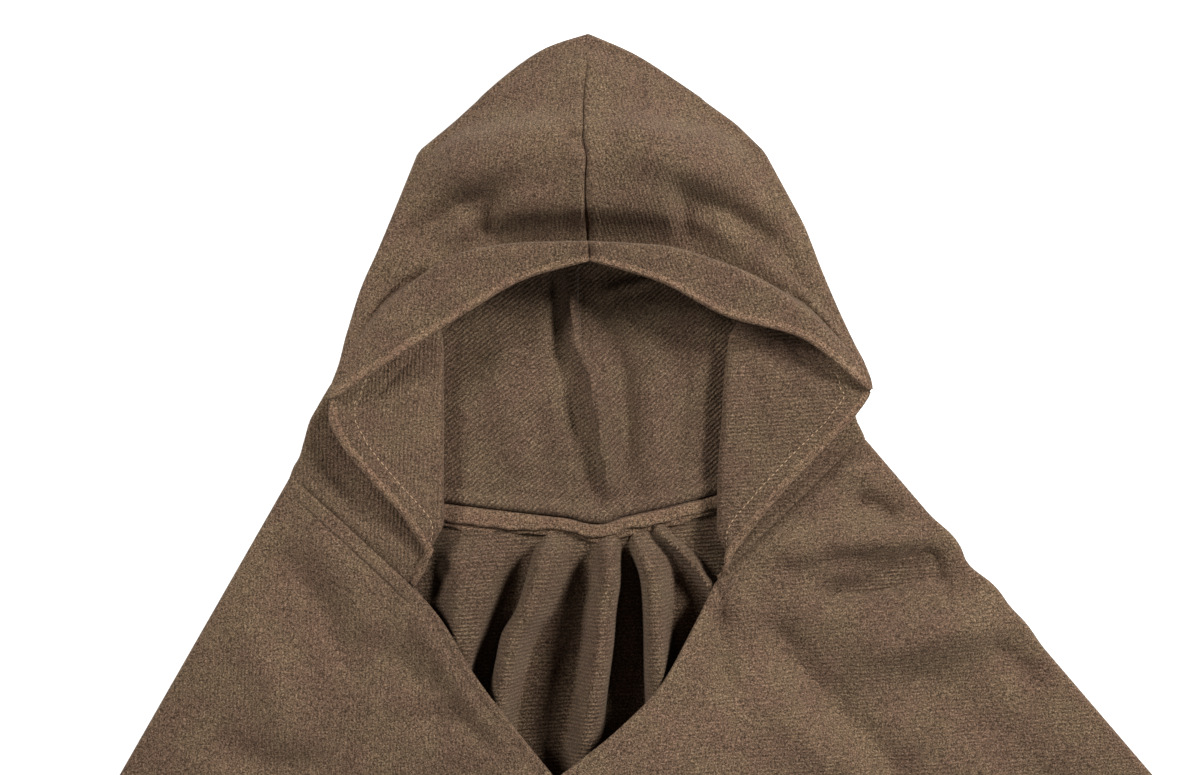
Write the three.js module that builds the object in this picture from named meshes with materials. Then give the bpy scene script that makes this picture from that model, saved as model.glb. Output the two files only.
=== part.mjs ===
// Hooded poncho of heavy twill wool, laid flat on its back.
// Millimetres, +Z up. X runs to the right across the garment, +Y runs from the neck to the tip of
// the hood, and the cloth rests on Z = 0. The tables below count X and Y from the neck: the middle
// of the back neck seam lies near X = 0, Y = 9. The finished part is moved by MIDDLE, so that its
// origin is on the floor at the middle of its outline.
import * as THREE from "three";

// ---- Driving sizes ----
const CLOTH = 2.6; // thickness of the wool
const SEAM_GAP = 0.3; // clearance between two sewn pieces
const REST = CLOTH / 2; // middle of a layer that lies on the floor
const FOLD_RISE = 7.7; // height from the lower to the upper layer at a side fold
const MIDDLE = { x: 52.23, y: -261.337 };
const HEM_LEFT = { x: -621, y: -653 };
const HEM_RIGHT = { x: 725, y: -538 };
const HEM_CENTRE = { x: 0, y: 20, radius: 915 }; // the hem is an arc about the neck
const BAND = { left: -128, right: 112, reach: 0.7, thick: 2.2, lift: 0.35 }; // turned down allowances across the back neck

// ---- Middle line of the hood: back seam on the lower layer, top seam on the crown ----
const CENTRE = [
  // at: station, sx sy sz: back seam, ey ez: crown seam (from station 6, the brim edge)
  { at: 0, sx: 8, sy: 9.2, sz: 10, ex: 0, ey: 0, ez: 0 },
  { at: 1, sx: 7, sy: 22, sz: 12, ex: 0, ey: 0, ez: 0 },
  { at: 3, sx: 4, sy: 64, sz: 8, ex: 0, ey: 0, ez: 0 },
  { at: 6, sx: -2, sy: 120, sz: 7, ex: 0, ey: 202.5, ez: 60 },
  { at: 7, sx: -6, sy: 146, sz: 8, ex: -1, ey: 215, ez: 66 },
  { at: 8, sx: -9, sy: 172, sz: 8, ex: -2, ey: 225, ez: 33 },
  { at: 9, sx: -9, sy: 200, sz: 5, ex: -3, ey: 245, ez: 41 },
  { at: 10, sx: -6, sy: 228, sz: 3, ex: -4, ey: 262, ez: 45 },
  { at: 11, sx: -5, sy: 251, sz: 1.6, ex: -5, ey: 279, ez: 43.5 },
  { at: 12, sx: -5, sy: 275, sz: 1.3, ex: -5, ey: 297, ez: 40 },
  { at: 13, sx: -5, sy: 300, sz: 1.3, ex: -5, ey: 314, ez: 35.5 },
  { at: 14, sx: -4, sy: 327, sz: 1.3, ex: -4, ey: 333, ez: 28 },
  { at: 14.5, sx: -3, sy: 339, sz: 1.3, ex: -3, ey: 343, ez: 23.7 },
  { at: 15, sx: -1.5, sy: 350, sz: 1.3, ex: -1.5, ey: 352, ez: 19 },
];

// ---- Hood halves, a row for each station from the neck to the tip ----
// a: outer side fold, b: roll beside the face opening, c: front edge, and above station 6 the upper
// side fold. y1 y2 y3, z1 z2 z3: crown at a quarter, half and three quarters of the way in from c.
// za, zb, zd, zc, ze: second layer at a and b, third layer at b and c, crown at c.
const LEFT = [
  { at: 0, ax: -224, ay: 41, bx: -126, by: -35, cx: -131.5, cy: -39.5, za: 9, zb: 16, zd: 17, zc: 18 },
  { at: 1, ax: -221, ay: 49, bx: -113, by: -14, cx: -121, cy: -19, za: 9, zb: 15, zd: 22, zc: 22.5 },
  { at: 2, ax: -216.5, ay: 57, bx: -110, by: 10, cx: -136, cy: 10, za: 9, zb: 14, zd: 23, zc: 25 },
  { at: 3, ax: -213, ay: 69, bx: -110, by: 40, cx: -163, cy: 41, za: 9, zb: 13.5, zd: 23, zc: 27 },
  { at: 4, ax: -209, ay: 83, bx: -110, by: 68, cx: -185, cy: 69, za: 9, zb: 13, zd: 23, zc: 28.5 },
  { at: 5, ax: -202, ay: 96, bx: -110, by: 88, cx: -193, cy: 87, za: 9, zb: 12.5, zd: 22.5, zc: 29.5 },
  { at: 6, ax: -195, ay: 108, bx: -110, by: 102, cx: -193, cy: 101, za: 9, zb: 12, zd: 22, zc: 29.5,
    ze: 36.5, y1: 132, y2: 162, y3: 189, z1: 44, z2: 50, z3: 56 },
  { at: 7, ax: -182, ay: 128, bx: -110, by: 128, cx: -184.5, cy: 128, za: 8.6, zb: 12, zd: 21, zc: 26,
    ze: 33, y1: 180, y2: 208, y3: 214, z1: 43, z2: 55, z3: 62 },
  { at: 8, ax: -175, ay: 150, bx: -112, by: 152, cx: -178.5, cy: 152, za: 8.3, zb: 11, zd: 19, zc: 22.5,
    ze: 29.5, y1: 195, y2: 219, y3: 224, z1: 34, z2: 33, z3: 32 },
  { at: 9, ax: -165, ay: 180, bx: -124, by: 181, cx: -169.5, cy: 182, za: 7.6, zb: 9.5, zd: 15.5, zc: 17,
    ze: 24.5, y1: 214, y2: 235, y3: 242, z1: 35, z2: 39, z3: 41 },
  { at: 10, ax: -148, ay: 210, bx: -132, by: 211, cx: -157, cy: 211, za: 7, zb: 8.5, zd: 13, zc: 13,
    ze: 21, y1: 233, y2: 251, y3: 259, z1: 33, z2: 41, z3: 44 },
  { at: 11, ax: -104, ay: 247, bx: -96, by: 247, cx: -143, cy: 246, za: 5, zb: 6, zd: 8, zc: 5,
    ze: 16, y1: 259, y2: 272, y3: 280, z1: 28, z2: 37, z3: 41 },
  { at: 12, ax: -92, ay: 281, bx: -84, by: 281, cx: -127.5, cy: 285, za: 1.3, zb: 1.3, zd: 1.3, zc: 1.6,
    ze: 12.8, y1: 290, y2: 294, y3: 296, z1: 23, z2: 31.5, z3: 37 },
  { at: 13, ax: -68, ay: 304, bx: -58, by: 304, cx: -96, cy: 307, za: 1.3, zb: 1.3, zd: 1.3, zc: 1.3,
    ze: 11, y1: 311, y2: 313.5, y3: 314, z1: 18, z2: 25, z3: 31.5 },
  { at: 14, ax: -38, ay: 333, bx: -30, by: 333, cx: -56, cy: 340, za: 1.3, zb: 1.3, zd: 1.3, zc: 1.3,
    ze: 9.5, y1: 340, y2: 339, y3: 336.5, z1: 14, z2: 19, z3: 24 },
  { at: 14.5, ax: -19, ay: 348, bx: -15, by: 348, cx: -29, cy: 360.5, za: 1.3, zb: 1.3, zd: 1.3, zc: 1.3,
    ze: 9, y1: 355, y2: 352, y3: 347.5, z1: 12.5, z2: 16.5, z3: 20.5 },
  { at: 15, ax: -1.65, ay: 358, bx: -1.65, by: 358, cx: -1.65, cy: 371, za: 1.3, zb: 1.3, zd: 1.3, zc: 1.3,
    ze: 8.7, y1: 364, y2: 360.5, y3: 356.5, z1: 11.5, z2: 14, z3: 16.5 },
];
const RIGHT = [
  { at: 0, ax: 205, ay: 70, bx: 90, by: -28, cx: 95, cy: -33, za: 9, zb: 16, zd: 17, zc: 18 },
  { at: 1, ax: 203, ay: 75, bx: 94.5, by: -17, cx: 102.5, cy: -20, za: 9, zb: 15, zd: 22, zc: 22.5 },
  { at: 2, ax: 201, ay: 79, bx: 95.5, by: 4, cx: 119, cy: 3, za: 9, zb: 14, zd: 23, zc: 25 },
  { at: 3, ax: 199, ay: 83, bx: 96, by: 32, cx: 144, cy: 33, za: 9, zb: 13.5, zd: 23, zc: 27 },
  { at: 4, ax: 197.5, ay: 88, bx: 97, by: 58, cx: 169, cy: 60, za: 9, zb: 13, zd: 23, zc: 28.5 },
  { at: 5, ax: 196, ay: 94, bx: 99, by: 82, cx: 196, cy: 88, za: 9, zb: 12.5, zd: 22.5, zc: 29.5 },
  { at: 6, ax: 196, ay: 102, bx: 100, by: 102, cx: 208, cy: 108, za: 9, zb: 12, zd: 22, zc: 29.5,
    ze: 36.5, y1: 147, y2: 161, y3: 187, z1: 44, z2: 50, z3: 56 },
  { at: 7, ax: 192, ay: 126, bx: 102, by: 126, cx: 202.5, cy: 127, za: 8.6, zb: 12, zd: 21, zc: 26,
    ze: 33, y1: 172, y2: 198, y3: 212, z1: 43, z2: 55, z3: 62 },
  { at: 8, ax: 187, ay: 142, bx: 105, by: 146, cx: 195, cy: 142, za: 8.3, zb: 11, zd: 19, zc: 22.5,
    ze: 29.5, y1: 188, y2: 212, y3: 222, z1: 34, z2: 33, z3: 32 },
  { at: 9, ax: 178, ay: 166, bx: 122, by: 172, cx: 185, cy: 164, za: 7.6, zb: 9.5, zd: 15.5, zc: 17,
    ze: 24.5, y1: 205, y2: 230, y3: 241, z1: 35, z2: 39, z3: 41 },
  { at: 10, ax: 163, ay: 197, bx: 146, by: 199, cx: 172, cy: 195, za: 7, zb: 8.5, zd: 13, zc: 13,
    ze: 21, y1: 225, y2: 247, y3: 258, z1: 33, z2: 41, z3: 44 },
  { at: 11, ax: 114, ay: 235, bx: 106, by: 235, cx: 158, cy: 232, za: 5, zb: 6, zd: 8, zc: 5,
    ze: 16, y1: 252, y2: 268, y3: 279, z1: 28, z2: 37, z3: 41 },
  { at: 12, ax: 94, ay: 281, bx: 86, by: 281, cx: 129.5, cy: 285, za: 1.3, zb: 1.3, zd: 1.3, zc: 1.6,
    ze: 12.8, y1: 290, y2: 294, y3: 296, z1: 23, z2: 31.5, z3: 37 },
  { at: 13, ax: 72, ay: 303, bx: 64, by: 303, cx: 103, cy: 306, za: 1.3, zb: 1.3, zd: 1.3, zc: 1.3,
    ze: 11, y1: 310.5, y2: 313.5, y3: 314, z1: 18, z2: 25, z3: 31.5 },
  { at: 14, ax: 38, ay: 332, bx: 32, by: 332, cx: 57, cy: 339.5, za: 1.3, zb: 1.3, zd: 1.3, zc: 1.3,
    ze: 9.5, y1: 339.5, y2: 339, y3: 336.5, z1: 14, z2: 19, z3: 24 },
  { at: 14.5, ax: 17, ay: 345, bx: 14, by: 345, cx: 27, cy: 356, za: 1.3, zb: 1.3, zd: 1.3, zc: 1.3,
    ze: 9, y1: 352, y2: 350, y3: 347, z1: 12.5, z2: 16.5, z3: 20.5 },
  { at: 15, ax: -1.35, ay: 358, bx: -1.35, by: 358, cx: -1.35, cy: 371, za: 1.3, zb: 1.3, zd: 1.3, zc: 1.3,
    ze: 8.7, y1: 364, y2: 360.5, y3: 356.5, z1: 11.5, z2: 14, z3: 16.5 },
];
const STATIONS = [0, 0.5, 1, 1.5, 2, 2.5, 3, 3.5, 4, 4.5, 5, 5.5, 6, 6.5, 7, 7.5, 8, 8.5, 9, 9.5, 10,
  10.5, 11, 11.5, 12, 12.5, 13, 13.5, 14, 14.5, 14.8, 15];
const BRIM_STATION = 6;
const TIP_STATION = 15; // the last row lies along the centre seam, over the tip
const LOWER_STEPS = [0, 0.1, 0.22, 0.35, 0.5, 0.65, 0.8, 0.91, 1]; // back seam to side fold
const SECOND_STEPS = [0.2, 0.4, 0.6, 0.8, 1];
const THIRD_STEPS = [0.25, 0.5, 0.75, 1];
const CROWN_STEPS = [0.1, 0.25, 0.38, 0.5, 0.62, 0.75, 0.86, 0.94, 1];
const FOLD_STEPS = 4;

// ---- V opening: from the front corner of the neck seam to the bottom of the V ----
const V_LEFT = [
  { at: 0, x: -131.5, y: -39.5, z: 18 }, { at: 1, x: -111, y: -63, z: 26 },
  { at: 2, x: -85, y: -104, z: 38 }, { at: 3, x: -59, y: -137, z: 48 }, { at: 4, x: -25, y: -178, z: 57 },
];
const V_RIGHT = [
  { at: 0, x: 95, y: -33, z: 18 }, { at: 1, x: 76, y: -70, z: 28 },
  { at: 2, x: 52, y: -111, z: 41 }, { at: 3, x: 20, y: -143, z: 50 }, { at: 4, x: -25, y: -178, z: 57 },
];

// ---- Flutes of the back: straight soft ridges that leave the neck seam and die out below ----
const FLUTES = [
  { x0: -80, y0: 15, x1: -122, y1: -140, half: 27, height: 15, end: -360 },
  { x0: -30, y0: 12, x1: -67, y1: -122, half: 15, height: 30, end: -430 },
  { x0: 11, y0: 10, x1: 0, y1: -137, half: 17, height: 31, end: -450 },
  { x0: 40, y0: 12, x1: 48, y1: -120, half: 15, height: 31, end: -430 },
  { x0: 52, y0: 4, x1: 92, y1: -44, half: 13, height: 11, end: -210 },
];
// ---- Slow waves of the front over the shoulders and towards the hem ----
const WAVES = [
  { x0: 235, y0: -6, x1: 150, y1: 22, half: 22, height: 5 },
  { x0: 275, y0: -60, x1: 120, y1: -40, half: 34, height: 5 },
  { x0: 330, y0: -170, x1: 110, y1: -150, half: 60, height: 6 },
  { x0: -290, y0: -150, x1: -150, y1: -110, half: 60, height: 4 },
  { x0: -60, y0: -300, x1: -230, y1: -620, half: 60, height: 9 },
  { x0: 60, y0: -300, x1: 170, y1: -640, half: 70, height: 10 },
  { x0: 330, y0: -330, x1: 480, y1: -520, half: 55, height: 7 },
  { x0: -350, y0: -330, x1: -440, y1: -600, half: 50, height: 6 },
];
// ---- Small kinks of the right side line: distance down the side, and outward shift ----
const KINKS = [{ at: 0.085, out: 3.5, half: 0.03 }, { at: 0.135, out: -3.5, half: 0.025 },
  { at: 0.2, out: 2.5, half: 0.04 }];
const BODY_STEPS = [0, 0.011, 0.021, 0.037, 0.06, 0.09, 0.13, 0.175, 0.225, 0.28, 0.34, 0.4, 0.46, 0.53, 0.6, 0.68,
  0.76, 0.84, 0.92, 1];

// ---- Small helpers ----
const lerp = (a, b, t) => a + (b - a) * t;
const ease = (t) => {
  const c = Math.min(1, Math.max(0, t));
  return c * c * (3 - 2 * c);
};
const vec = (x, y, z) => new THREE.Vector3(x, y, z);

// Cubic through the rows of a table at a station, column by column.
function readTable(table, at) {
  let i = 0;
  while (i < table.length - 2 && at >= table[i + 1].at) i += 1;
  const row = {};
  const [p0, p1, p2, p3] = [table[Math.max(0, i - 1)], table[i], table[i + 1],
    table[Math.min(table.length - 1, i + 2)]];
  const t = (at - p1.at) / (p2.at - p1.at);
  for (const key of Object.keys(p2)) {
    if (p1[key] === undefined) continue;
    const slope = (a, b, c) => {
      const left = b.at > a.at && a[key] !== undefined ? (b[key] - a[key]) / (b.at - a.at) : null;
      const right = c.at > b.at ? (c[key] - b[key]) / (c.at - b.at) : null;
      if (left === null) return right;
      if (right === null) return left;
      return left * right <= 0 ? 0 : (2 * left * right) / (left + right);
    };
    const span = p2.at - p1.at;
    const m1 = slope(p0, p1, p2) * span;
    const m2 = slope(p1, p2, p3) * span;
    row[key] = (2 * t ** 3 - 3 * t ** 2 + 1) * p1[key] + (t ** 3 - 2 * t ** 2 + t) * m1
      + (3 * t ** 2 - 2 * t ** 3) * p2[key] + (t ** 3 - t ** 2) * m2;
  }
  if (t === 0) for (const key of Object.keys(p1)) row[key] = p1[key];
  return row;
}

// Soft ridge of a height along a straight line, with the distance across and the share along it.
function ridge(r, x, y) {
  const dx = r.x1 - r.x0;
  const dy = r.y1 - r.y0;
  const length = Math.hypot(dx, dy);
  const along = ((x - r.x0) * dx + (y - r.y0) * dy) / length;
  const across = Math.abs(((x - r.x0) * dy - (y - r.y0) * dx) / length);
  const c = across < r.half ? Math.cos((Math.PI * across) / (2 * r.half)) : 0;
  const shape = c * (0.45 * c + 0.55);
  return { shape, along, length };
}

// A closed cloth body about a middle surface: grid of points, a cell filter, and optional fixed
// normals keyed "row,column". The wall is CLOTH thick and its rim closes every open edge.
function clothBody(grid, hasCell, fixed = new Map(), thick = CLOTH) {
  const rows = grid.length;
  const cols = grid[0].length;
  const cells = [];
  for (let j = 0; j < rows - 1; j += 1) {
    for (let i = 0; i < cols - 1; i += 1) {
      if (hasCell(j, i)) cells.push([[j, i], [j, i + 1], [j + 1, i + 1], [j + 1, i]]);
    }
  }
  const normals = new Map();
  const key = ([j, i]) => `${j},${i}`;
  for (const cell of cells) {
    const [a, b, c, d] = cell.map(([j, i]) => grid[j][i]);
    const n = c.clone().sub(a).cross(d.clone().sub(b)).normalize();
    for (const k of cell.map(key)) {
      if (!normals.has(k)) normals.set(k, vec(0, 0, 0));
      normals.get(k).add(n);
    }
  }
  const index = new Map();
  const points = [];
  for (const [k, n] of normals) {
    const [j, i] = k.split(",").map(Number);
    const own = fixed.has(k) ? fixed.get(k)(n.clone().normalize()) : n.normalize();
    n.copy(own);
    index.set(k, points.length);
    for (const half of [thick / 2, -thick / 2]) {
      const p = grid[j][i].clone().addScaledVector(own, half);
      points.push(p.setZ(Math.max(0, p.z))); // nothing reaches below the floor
    }
  }
  const faces = [];
  const edges = new Map();
  for (const cell of cells) {
    const [a, b, c, d] = cell.map((p) => index.get(key(p)));
    // split each cell along its shorter diagonal
    if (points[a].distanceTo(points[c]) <= points[b].distanceTo(points[d])) {
      faces.push([a, b, c], [a, c, d], [c + 1, b + 1, a + 1], [d + 1, c + 1, a + 1]);
    } else {
      faces.push([a, b, d], [b, c, d], [d + 1, b + 1, a + 1], [d + 1, c + 1, b + 1]);
    }
    for (const [p, q] of [[a, b], [b, c], [c, d], [d, a]]) {
      const back = `${q}:${p}`;
      if (edges.has(back)) edges.delete(back);
      else edges.set(`${p}:${q}`, [p, q]);
    }
  }
  for (const [p, q] of edges.values()) faces.push([p, p + 1, q + 1], [p, q + 1, q]);
  const geometry = new THREE.BufferGeometry();
  const flat = faces.flatMap((f) => f.flatMap((k) => points[k].toArray()));
  geometry.setAttribute("position", new THREE.Float32BufferAttribute(flat, 3));
  geometry.computeVertexNormals();
  return { geometry, normals };
}

// Half turn of a fold from p to q, bulging by depth along the plan direction (ux, uy).
function foldArc(p, q, ux, uy, depth) {
  const arc = [];
  for (let k = 1; k <= FOLD_STEPS; k += 1) {
    const angle = (Math.PI * k) / FOLD_STEPS;
    const t = (1 - Math.cos(angle)) / 2;
    const out = depth * Math.sin(angle);
    arc.push(vec(lerp(p.x, q.x, t) + ux * out, lerp(p.y, q.y, t) + uy * out, lerp(p.z, q.z, t)));
  }
  return arc;
}

// One row of a hood half, from the back seam out to the front edge or up to the crown seam.
function hoodRow(table, at, side) {
  const r = readTable(table, at);
  const mid = readTable(CENTRE, at);
  const start = vec(mid.sx + (side * SEAM_GAP) / 2, mid.sy, mid.sz);
  const row = [];
  const pleat = 1 - ease((at - 9) / 2); // it opens flat towards the tip of the hood
  const sag = side > 0 ? -3.5 * (1 - ease(at / 2)) : 1.5 * (1 - ease(at / 2));
  // lower layer, with the slack of the neck dying out towards the side
  const depthA = Math.max(1.2, (r.za - REST) / 2);
  const inA = vec(r.ax - side * depthA * pleat, r.ay, REST);
  for (const f of LOWER_STEPS) {
    const swell = at < 9 ? 3 * Math.sin(Math.PI * f) ** 2 * ease(at / 1.5) * (1 - ease((at - 6) / 3)) : 0;
    row.push(vec(lerp(start.x, inA.x, f), lerp(start.y, inA.y, f) + sag * Math.sin(Math.PI * f),
      lerp(start.z, REST, ease(f * 1.35)) + swell * (1 - ease((f - 0.5) / 0.5))));
  }
  // pleat: out round a, in to b, out to c
  const roll = ease((at - 0.4) / 1.6) * pleat;
  const outA = vec(r.ax - side * depthA, r.ay, r.za);
  const depthB = Math.max(0.8, (r.zd - r.zb) / 2);
  const inB = vec(r.bx + side * depthB, r.by, r.zb);
  const outB = vec(r.bx + side * depthB, r.by, r.zd);
  const depthC = at >= BRIM_STATION ? (r.ze - r.zc) / 2 : 0;
  const up = readTable(table, Math.min(TIP_STATION, at + 0.3));
  const down = readTable(table, Math.max(BRIM_STATION, at - 0.3));
  const out = vec(side, 0, 0);
  if (at === TIP_STATION) out.set(0, 1, 0);
  else if (at > BRIM_STATION) out.set(side * (up.cy - down.cy), side * (down.cx - up.cx), 0).normalize();
  const endC = vec(r.cx - out.x * depthC, r.cy - out.y * depthC, r.zc);
  const folded = [];
  folded.push(...foldArc(inA, outA, side, 0, depthA));
  for (const f of SECOND_STEPS) folded.push(outA.clone().lerp(inB, f));
  folded.push(...foldArc(inB, outB, -side, 0, depthB));
  for (const f of THIRD_STEPS) folded.push(outB.clone().lerp(endC, f));
  const opened = [];
  for (let k = 1; k <= folded.length; k += 1) opened.push(inA.clone().lerp(endC, k / folded.length));
  const nA = FOLD_STEPS;
  const nB = nA + SECOND_STEPS.length;
  folded.forEach((p, k) => {
    if (k < nA || at > BRIM_STATION) row.push(opened[k].lerp(p, pleat));
    else {
      // near the neck only the roll b opens: second layer runs straight on to the front corner
      const straight = outA.clone().lerp(endC, k < nB ? (0.94 * (k + 1 - nA)) / (nB - nA)
        : 0.94 + (0.06 * (k + 1 - nB)) / (folded.length - nB));
      row.push(straight.lerp(p, roll));
    }
  });
  const lowerCount = row.length;
  if (at >= BRIM_STATION) {
    const end = vec(mid.ex + (side * SEAM_GAP) / 2, mid.ey, mid.ez);
    const topC = endC.clone().setZ(r.ze);
    row.push(...foldArc(endC, topC, out.x, out.y, depthC));
    const knots = [{ at: 0, y: topC.y, z: topC.z }, { at: 0.25, y: r.y1, z: r.z1 },
      { at: 0.5, y: r.y2, z: r.z2 }, { at: 0.75, y: r.y3, z: r.z3 }, { at: 1, y: end.y, z: end.z }];
    for (const f of CROWN_STEPS) {
      const k = readTable(knots, f);
      row.push(vec(lerp(topC.x, end.x, f), k.y, k.z));
    }
  } else {
    while (row.length < lowerCount + FOLD_STEPS + CROWN_STEPS.length) row.push(row[lowerCount - 1].clone());
  }
  return { row, lowerCount };
}

function hoodHalf(table, side) {
  const made = STATIONS.map((at) => hoodRow(table, at, side));
  const grid = made.map((m) => m.row);
  const brim = STATIONS.indexOf(BRIM_STATION);
  const last = made[0].lowerCount - 1;
  const cols = grid[0].length;
  // seam edges keep their normals in the seam plane, so that both halves meet along it
  const fixed = new Map();
  const inPlane = (n) => vec(0, n.y, n.z).normalize();
  STATIONS.forEach((at, j) => {
    fixed.set(`${j},0`, inPlane);
    if (j >= brim) fixed.set(`${j},${cols - 1}`, inPlane);
  });
  for (let i = 0; i < cols; i += 1) fixed.set(`${STATIONS.length - 1},${i}`, inPlane);
  // the neck seam runs straight on to the front corner, so its normals stay those of the second layer
  const seamEnd = LOWER_STEPS.length - 1 + FOLD_STEPS + SECOND_STEPS.length;
  const run = grid[0][last].clone().sub(grid[0][seamEnd]).normalize();
  const down = vec(0, 0, -1).addScaledVector(run, run.z).normalize();
  for (let i = seamEnd; i <= last; i += 1) fixed.set(`0,${i}`, () => down.clone());
  if (side < 0) grid.forEach((row) => row.reverse());
  const flip = side < 0;
  const turned = new Map([...fixed].map(([k, f]) => {
    const [j, i] = k.split(",").map(Number);
    return [`${j},${flip ? cols - 1 - i : i}`, f];
  }));
  const has = (j, i) => j >= brim || (flip ? cols - 2 - i : i) < last;
  const body = clothBody(grid, has, turned);
  const first = grid[0].slice();
  const firstNormals = first.map((_, i) => body.normals.get(`0,${i}`));
  const second = grid[1].slice();
  if (flip) [first, firstNormals, second].forEach((a) => a.reverse());
  return { geometry: body.geometry, edge: first, normals: firstNormals, next: second, last };
}

// ---- Body ----
function flutes(x, y) {
  let z = 0;
  for (const f of FLUTES) {
    const { shape } = ridge(f, x, y);
    const start = ease((2 - y) / 42);
    const fade = 1 - ease((-120 - y) / (-120 - f.end));
    z = Math.max(z, f.height * shape * start * fade);
  }
  return z;
}

function waves(x, y) {
  let z = 0;
  for (const w of WAVES) {
    const { shape, along, length } = ridge(w, x, y);
    z += w.height * shape * ease((along + 40) / 80) * ease((length + 40 - along) / 80);
  }
  return z;
}

// Hem point below a share of the width: an arc about the neck between the two side lines.
function hemPoint(share) {
  const angle = (p) => Math.atan2(p.y - HEM_CENTRE.y, p.x - HEM_CENTRE.x);
  const a = lerp(angle(HEM_LEFT), angle(HEM_RIGHT), share);
  return { x: HEM_CENTRE.x + HEM_CENTRE.radius * Math.cos(a), y: HEM_CENTRE.y + HEM_CENTRE.radius * Math.sin(a) };
}

// Share of the hem for each top point, by its distance along the top edge from side to side.
function hemShares(top, weights) {
  const lengths = [0];
  for (let i = 1; i < top.length; i += 1) lengths.push(lengths[i - 1] + weights[i]);
  return lengths.map((l) => l / lengths[lengths.length - 1]);
}

function sideShift(down, share) {
  if (share < 0.9) return 0;
  return KINKS.reduce((sum, k) => {
    const d = Math.abs(down - k.at) / k.half;
    return sum + (d < 1 ? k.out * Math.cos((Math.PI * d) / 2) ** 2 : 0);
  }, 0);
}

function bodyGrid(top, shares, roll, heightAt) {
  const last = top.length - 1;
  return BODY_STEPS.map((t) => top.map((p, i) => {
    const hem = hemPoint(shares[i]);
    let x = lerp(p.x, hem.x, t) + sideShift(t, shares[i]) * ease((shares[i] - 0.9) / 0.1);
    let y = lerp(p.y, hem.y, t);
    if (roll[i]) {
      // the rounded side keeps its section: a fixed step in from the side line
      const edge = i < last / 2 ? 0 : last;
      const corner = top[edge];
      const foot = hemPoint(shares[edge]);
      const run = vec(foot.x - corner.x, foot.y - corner.y, 0).normalize();
      const inward = edge ? vec(run.y, -run.x, 0) : vec(-run.y, run.x, 0);
      const step = Math.hypot(p.x - corner.x, p.y - corner.y);
      const turn = ease(t / 0.03);
      x = lerp(corner.x, foot.x, t) + sideShift(t, shares[edge]) + lerp(p.x - corner.x, inward.x * step, turn);
      y = lerp(corner.y, foot.y, t) + lerp(p.y - corner.y, inward.y * step, turn);
    }
    return vec(x, y, heightAt(i, t, x, y, p));
  }));
}

const leftHood = hoodHalf(LEFT, -1);
const rightHood = hoodHalf(RIGHT, 1);
const halfFold = FOLD_STEPS / 2;
const foldStart = LOWER_STEPS.length - 1;

// Top edge of the body just below the neck seam: same points as the hood edge, moved off by the gap.
function below(hood, i) {
  const before = hood.edge[Math.max(0, i - 1)];
  const after = hood.edge[Math.min(hood.last, i + 1)];
  const away = hood.normals[i].clone().cross(after.clone().sub(before)).normalize();
  if (away.dot(hood.edge[i].clone().sub(hood.next[i])) < 0) away.negate();
  const gap = i === hood.last ? 2 * SEAM_GAP : SEAM_GAP; // the corner of the V stands a little clear
  return hood.edge[i].clone().addScaledVector(away, gap);
}

function backPiece() {
  const top = [];
  const normals = [];
  const roll = []; // 1 on the rounded side, 0 inside
  const add = (p, n, r) => { top.push(p); normals.push(n); roll.push(r); };
  for (let i = foldStart + halfFold; i > foldStart; i -= 1) {
    add(below(leftHood, i), leftHood.normals[i], 1);
  }
  const run = (hood, i, j, parts, closeEnd) => {
    for (let k = 0; k < parts + (closeEnd ? 1 : 0); k += 1) {
      const t = k / parts;
      add(below(hood, i).lerp(below(hood, j), t), hood.normals[i].clone().lerp(hood.normals[j], t).normalize(), 0);
    }
  };
  const parts = [5, 5, 5, 5, 4, 3, 2, 1];
  for (let i = foldStart; i > 0; i -= 1) run(leftHood, i, i - 1, parts[i - 1], false);
  // the two halves share the middle of the seam
  add(below(leftHood, 0).lerp(below(rightHood, 0), 0.5), leftHood.normals[0].clone(), 0);
  for (let i = 0; i < foldStart; i += 1) {
    run(rightHood, i, i + 1, parts[i], i === foldStart - 1);
    if (i === 0) { top.splice(-parts[0], 1); normals.splice(-parts[0], 1); roll.splice(-parts[0], 1); }
  }
  for (let i = foldStart + 1; i <= foldStart + halfFold; i += 1) {
    add(below(rightHood, i), rightHood.normals[i], 1);
  }
  const weights = top.map((p, i) => (i === 0 ? 0 : Math.hypot(p.x - top[i - 1].x, p.y - top[i - 1].y)));
  const shares = hemShares(top, weights);
  const grid = bodyGrid(top, shares, roll, (i, t, x, y, p) => {
    if (t === 0) return p.z;
    const base = lerp(p.z, REST, ease((t - 0.01) / 0.16));
    return roll[i] ? p.z : Math.max(base, REST) + flutes(x, y);
  });
  return finishSides(grid, normals, -1);
}

// Side columns stand upright at the side seam; top row takes the normals of the neck seam.
function finishSides(grid, topNormals, up) {
  const cols = grid[0].length;
  const fixed = new Map();
  for (let j = 0; j < grid.length; j += 1) {
    for (const i of [0, cols - 1]) {
      const from = grid[Math.max(0, j - 1)][i];
      const to = grid[Math.min(grid.length - 1, j + 1)][i];
      const side = i === 0 ? -1 : 1;
      const line = to.clone().sub(from).setZ(0).normalize();
      const out = vec(-line.y * side, line.x * side, 0);
      if (out.x * side < 0) out.negate();
      fixed.set(`${j},${i}`, () => out.clone().negate());
    }
  }
  topNormals.forEach((n, i) => fixed.set(`0,${i}`, () => n.clone()));
  for (const row of grid) {
    row[0].z += (up * SEAM_GAP) / 2;
    row[cols - 1].z += (up * SEAM_GAP) / 2;
  }
  return { grid, fixed };
}

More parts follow.
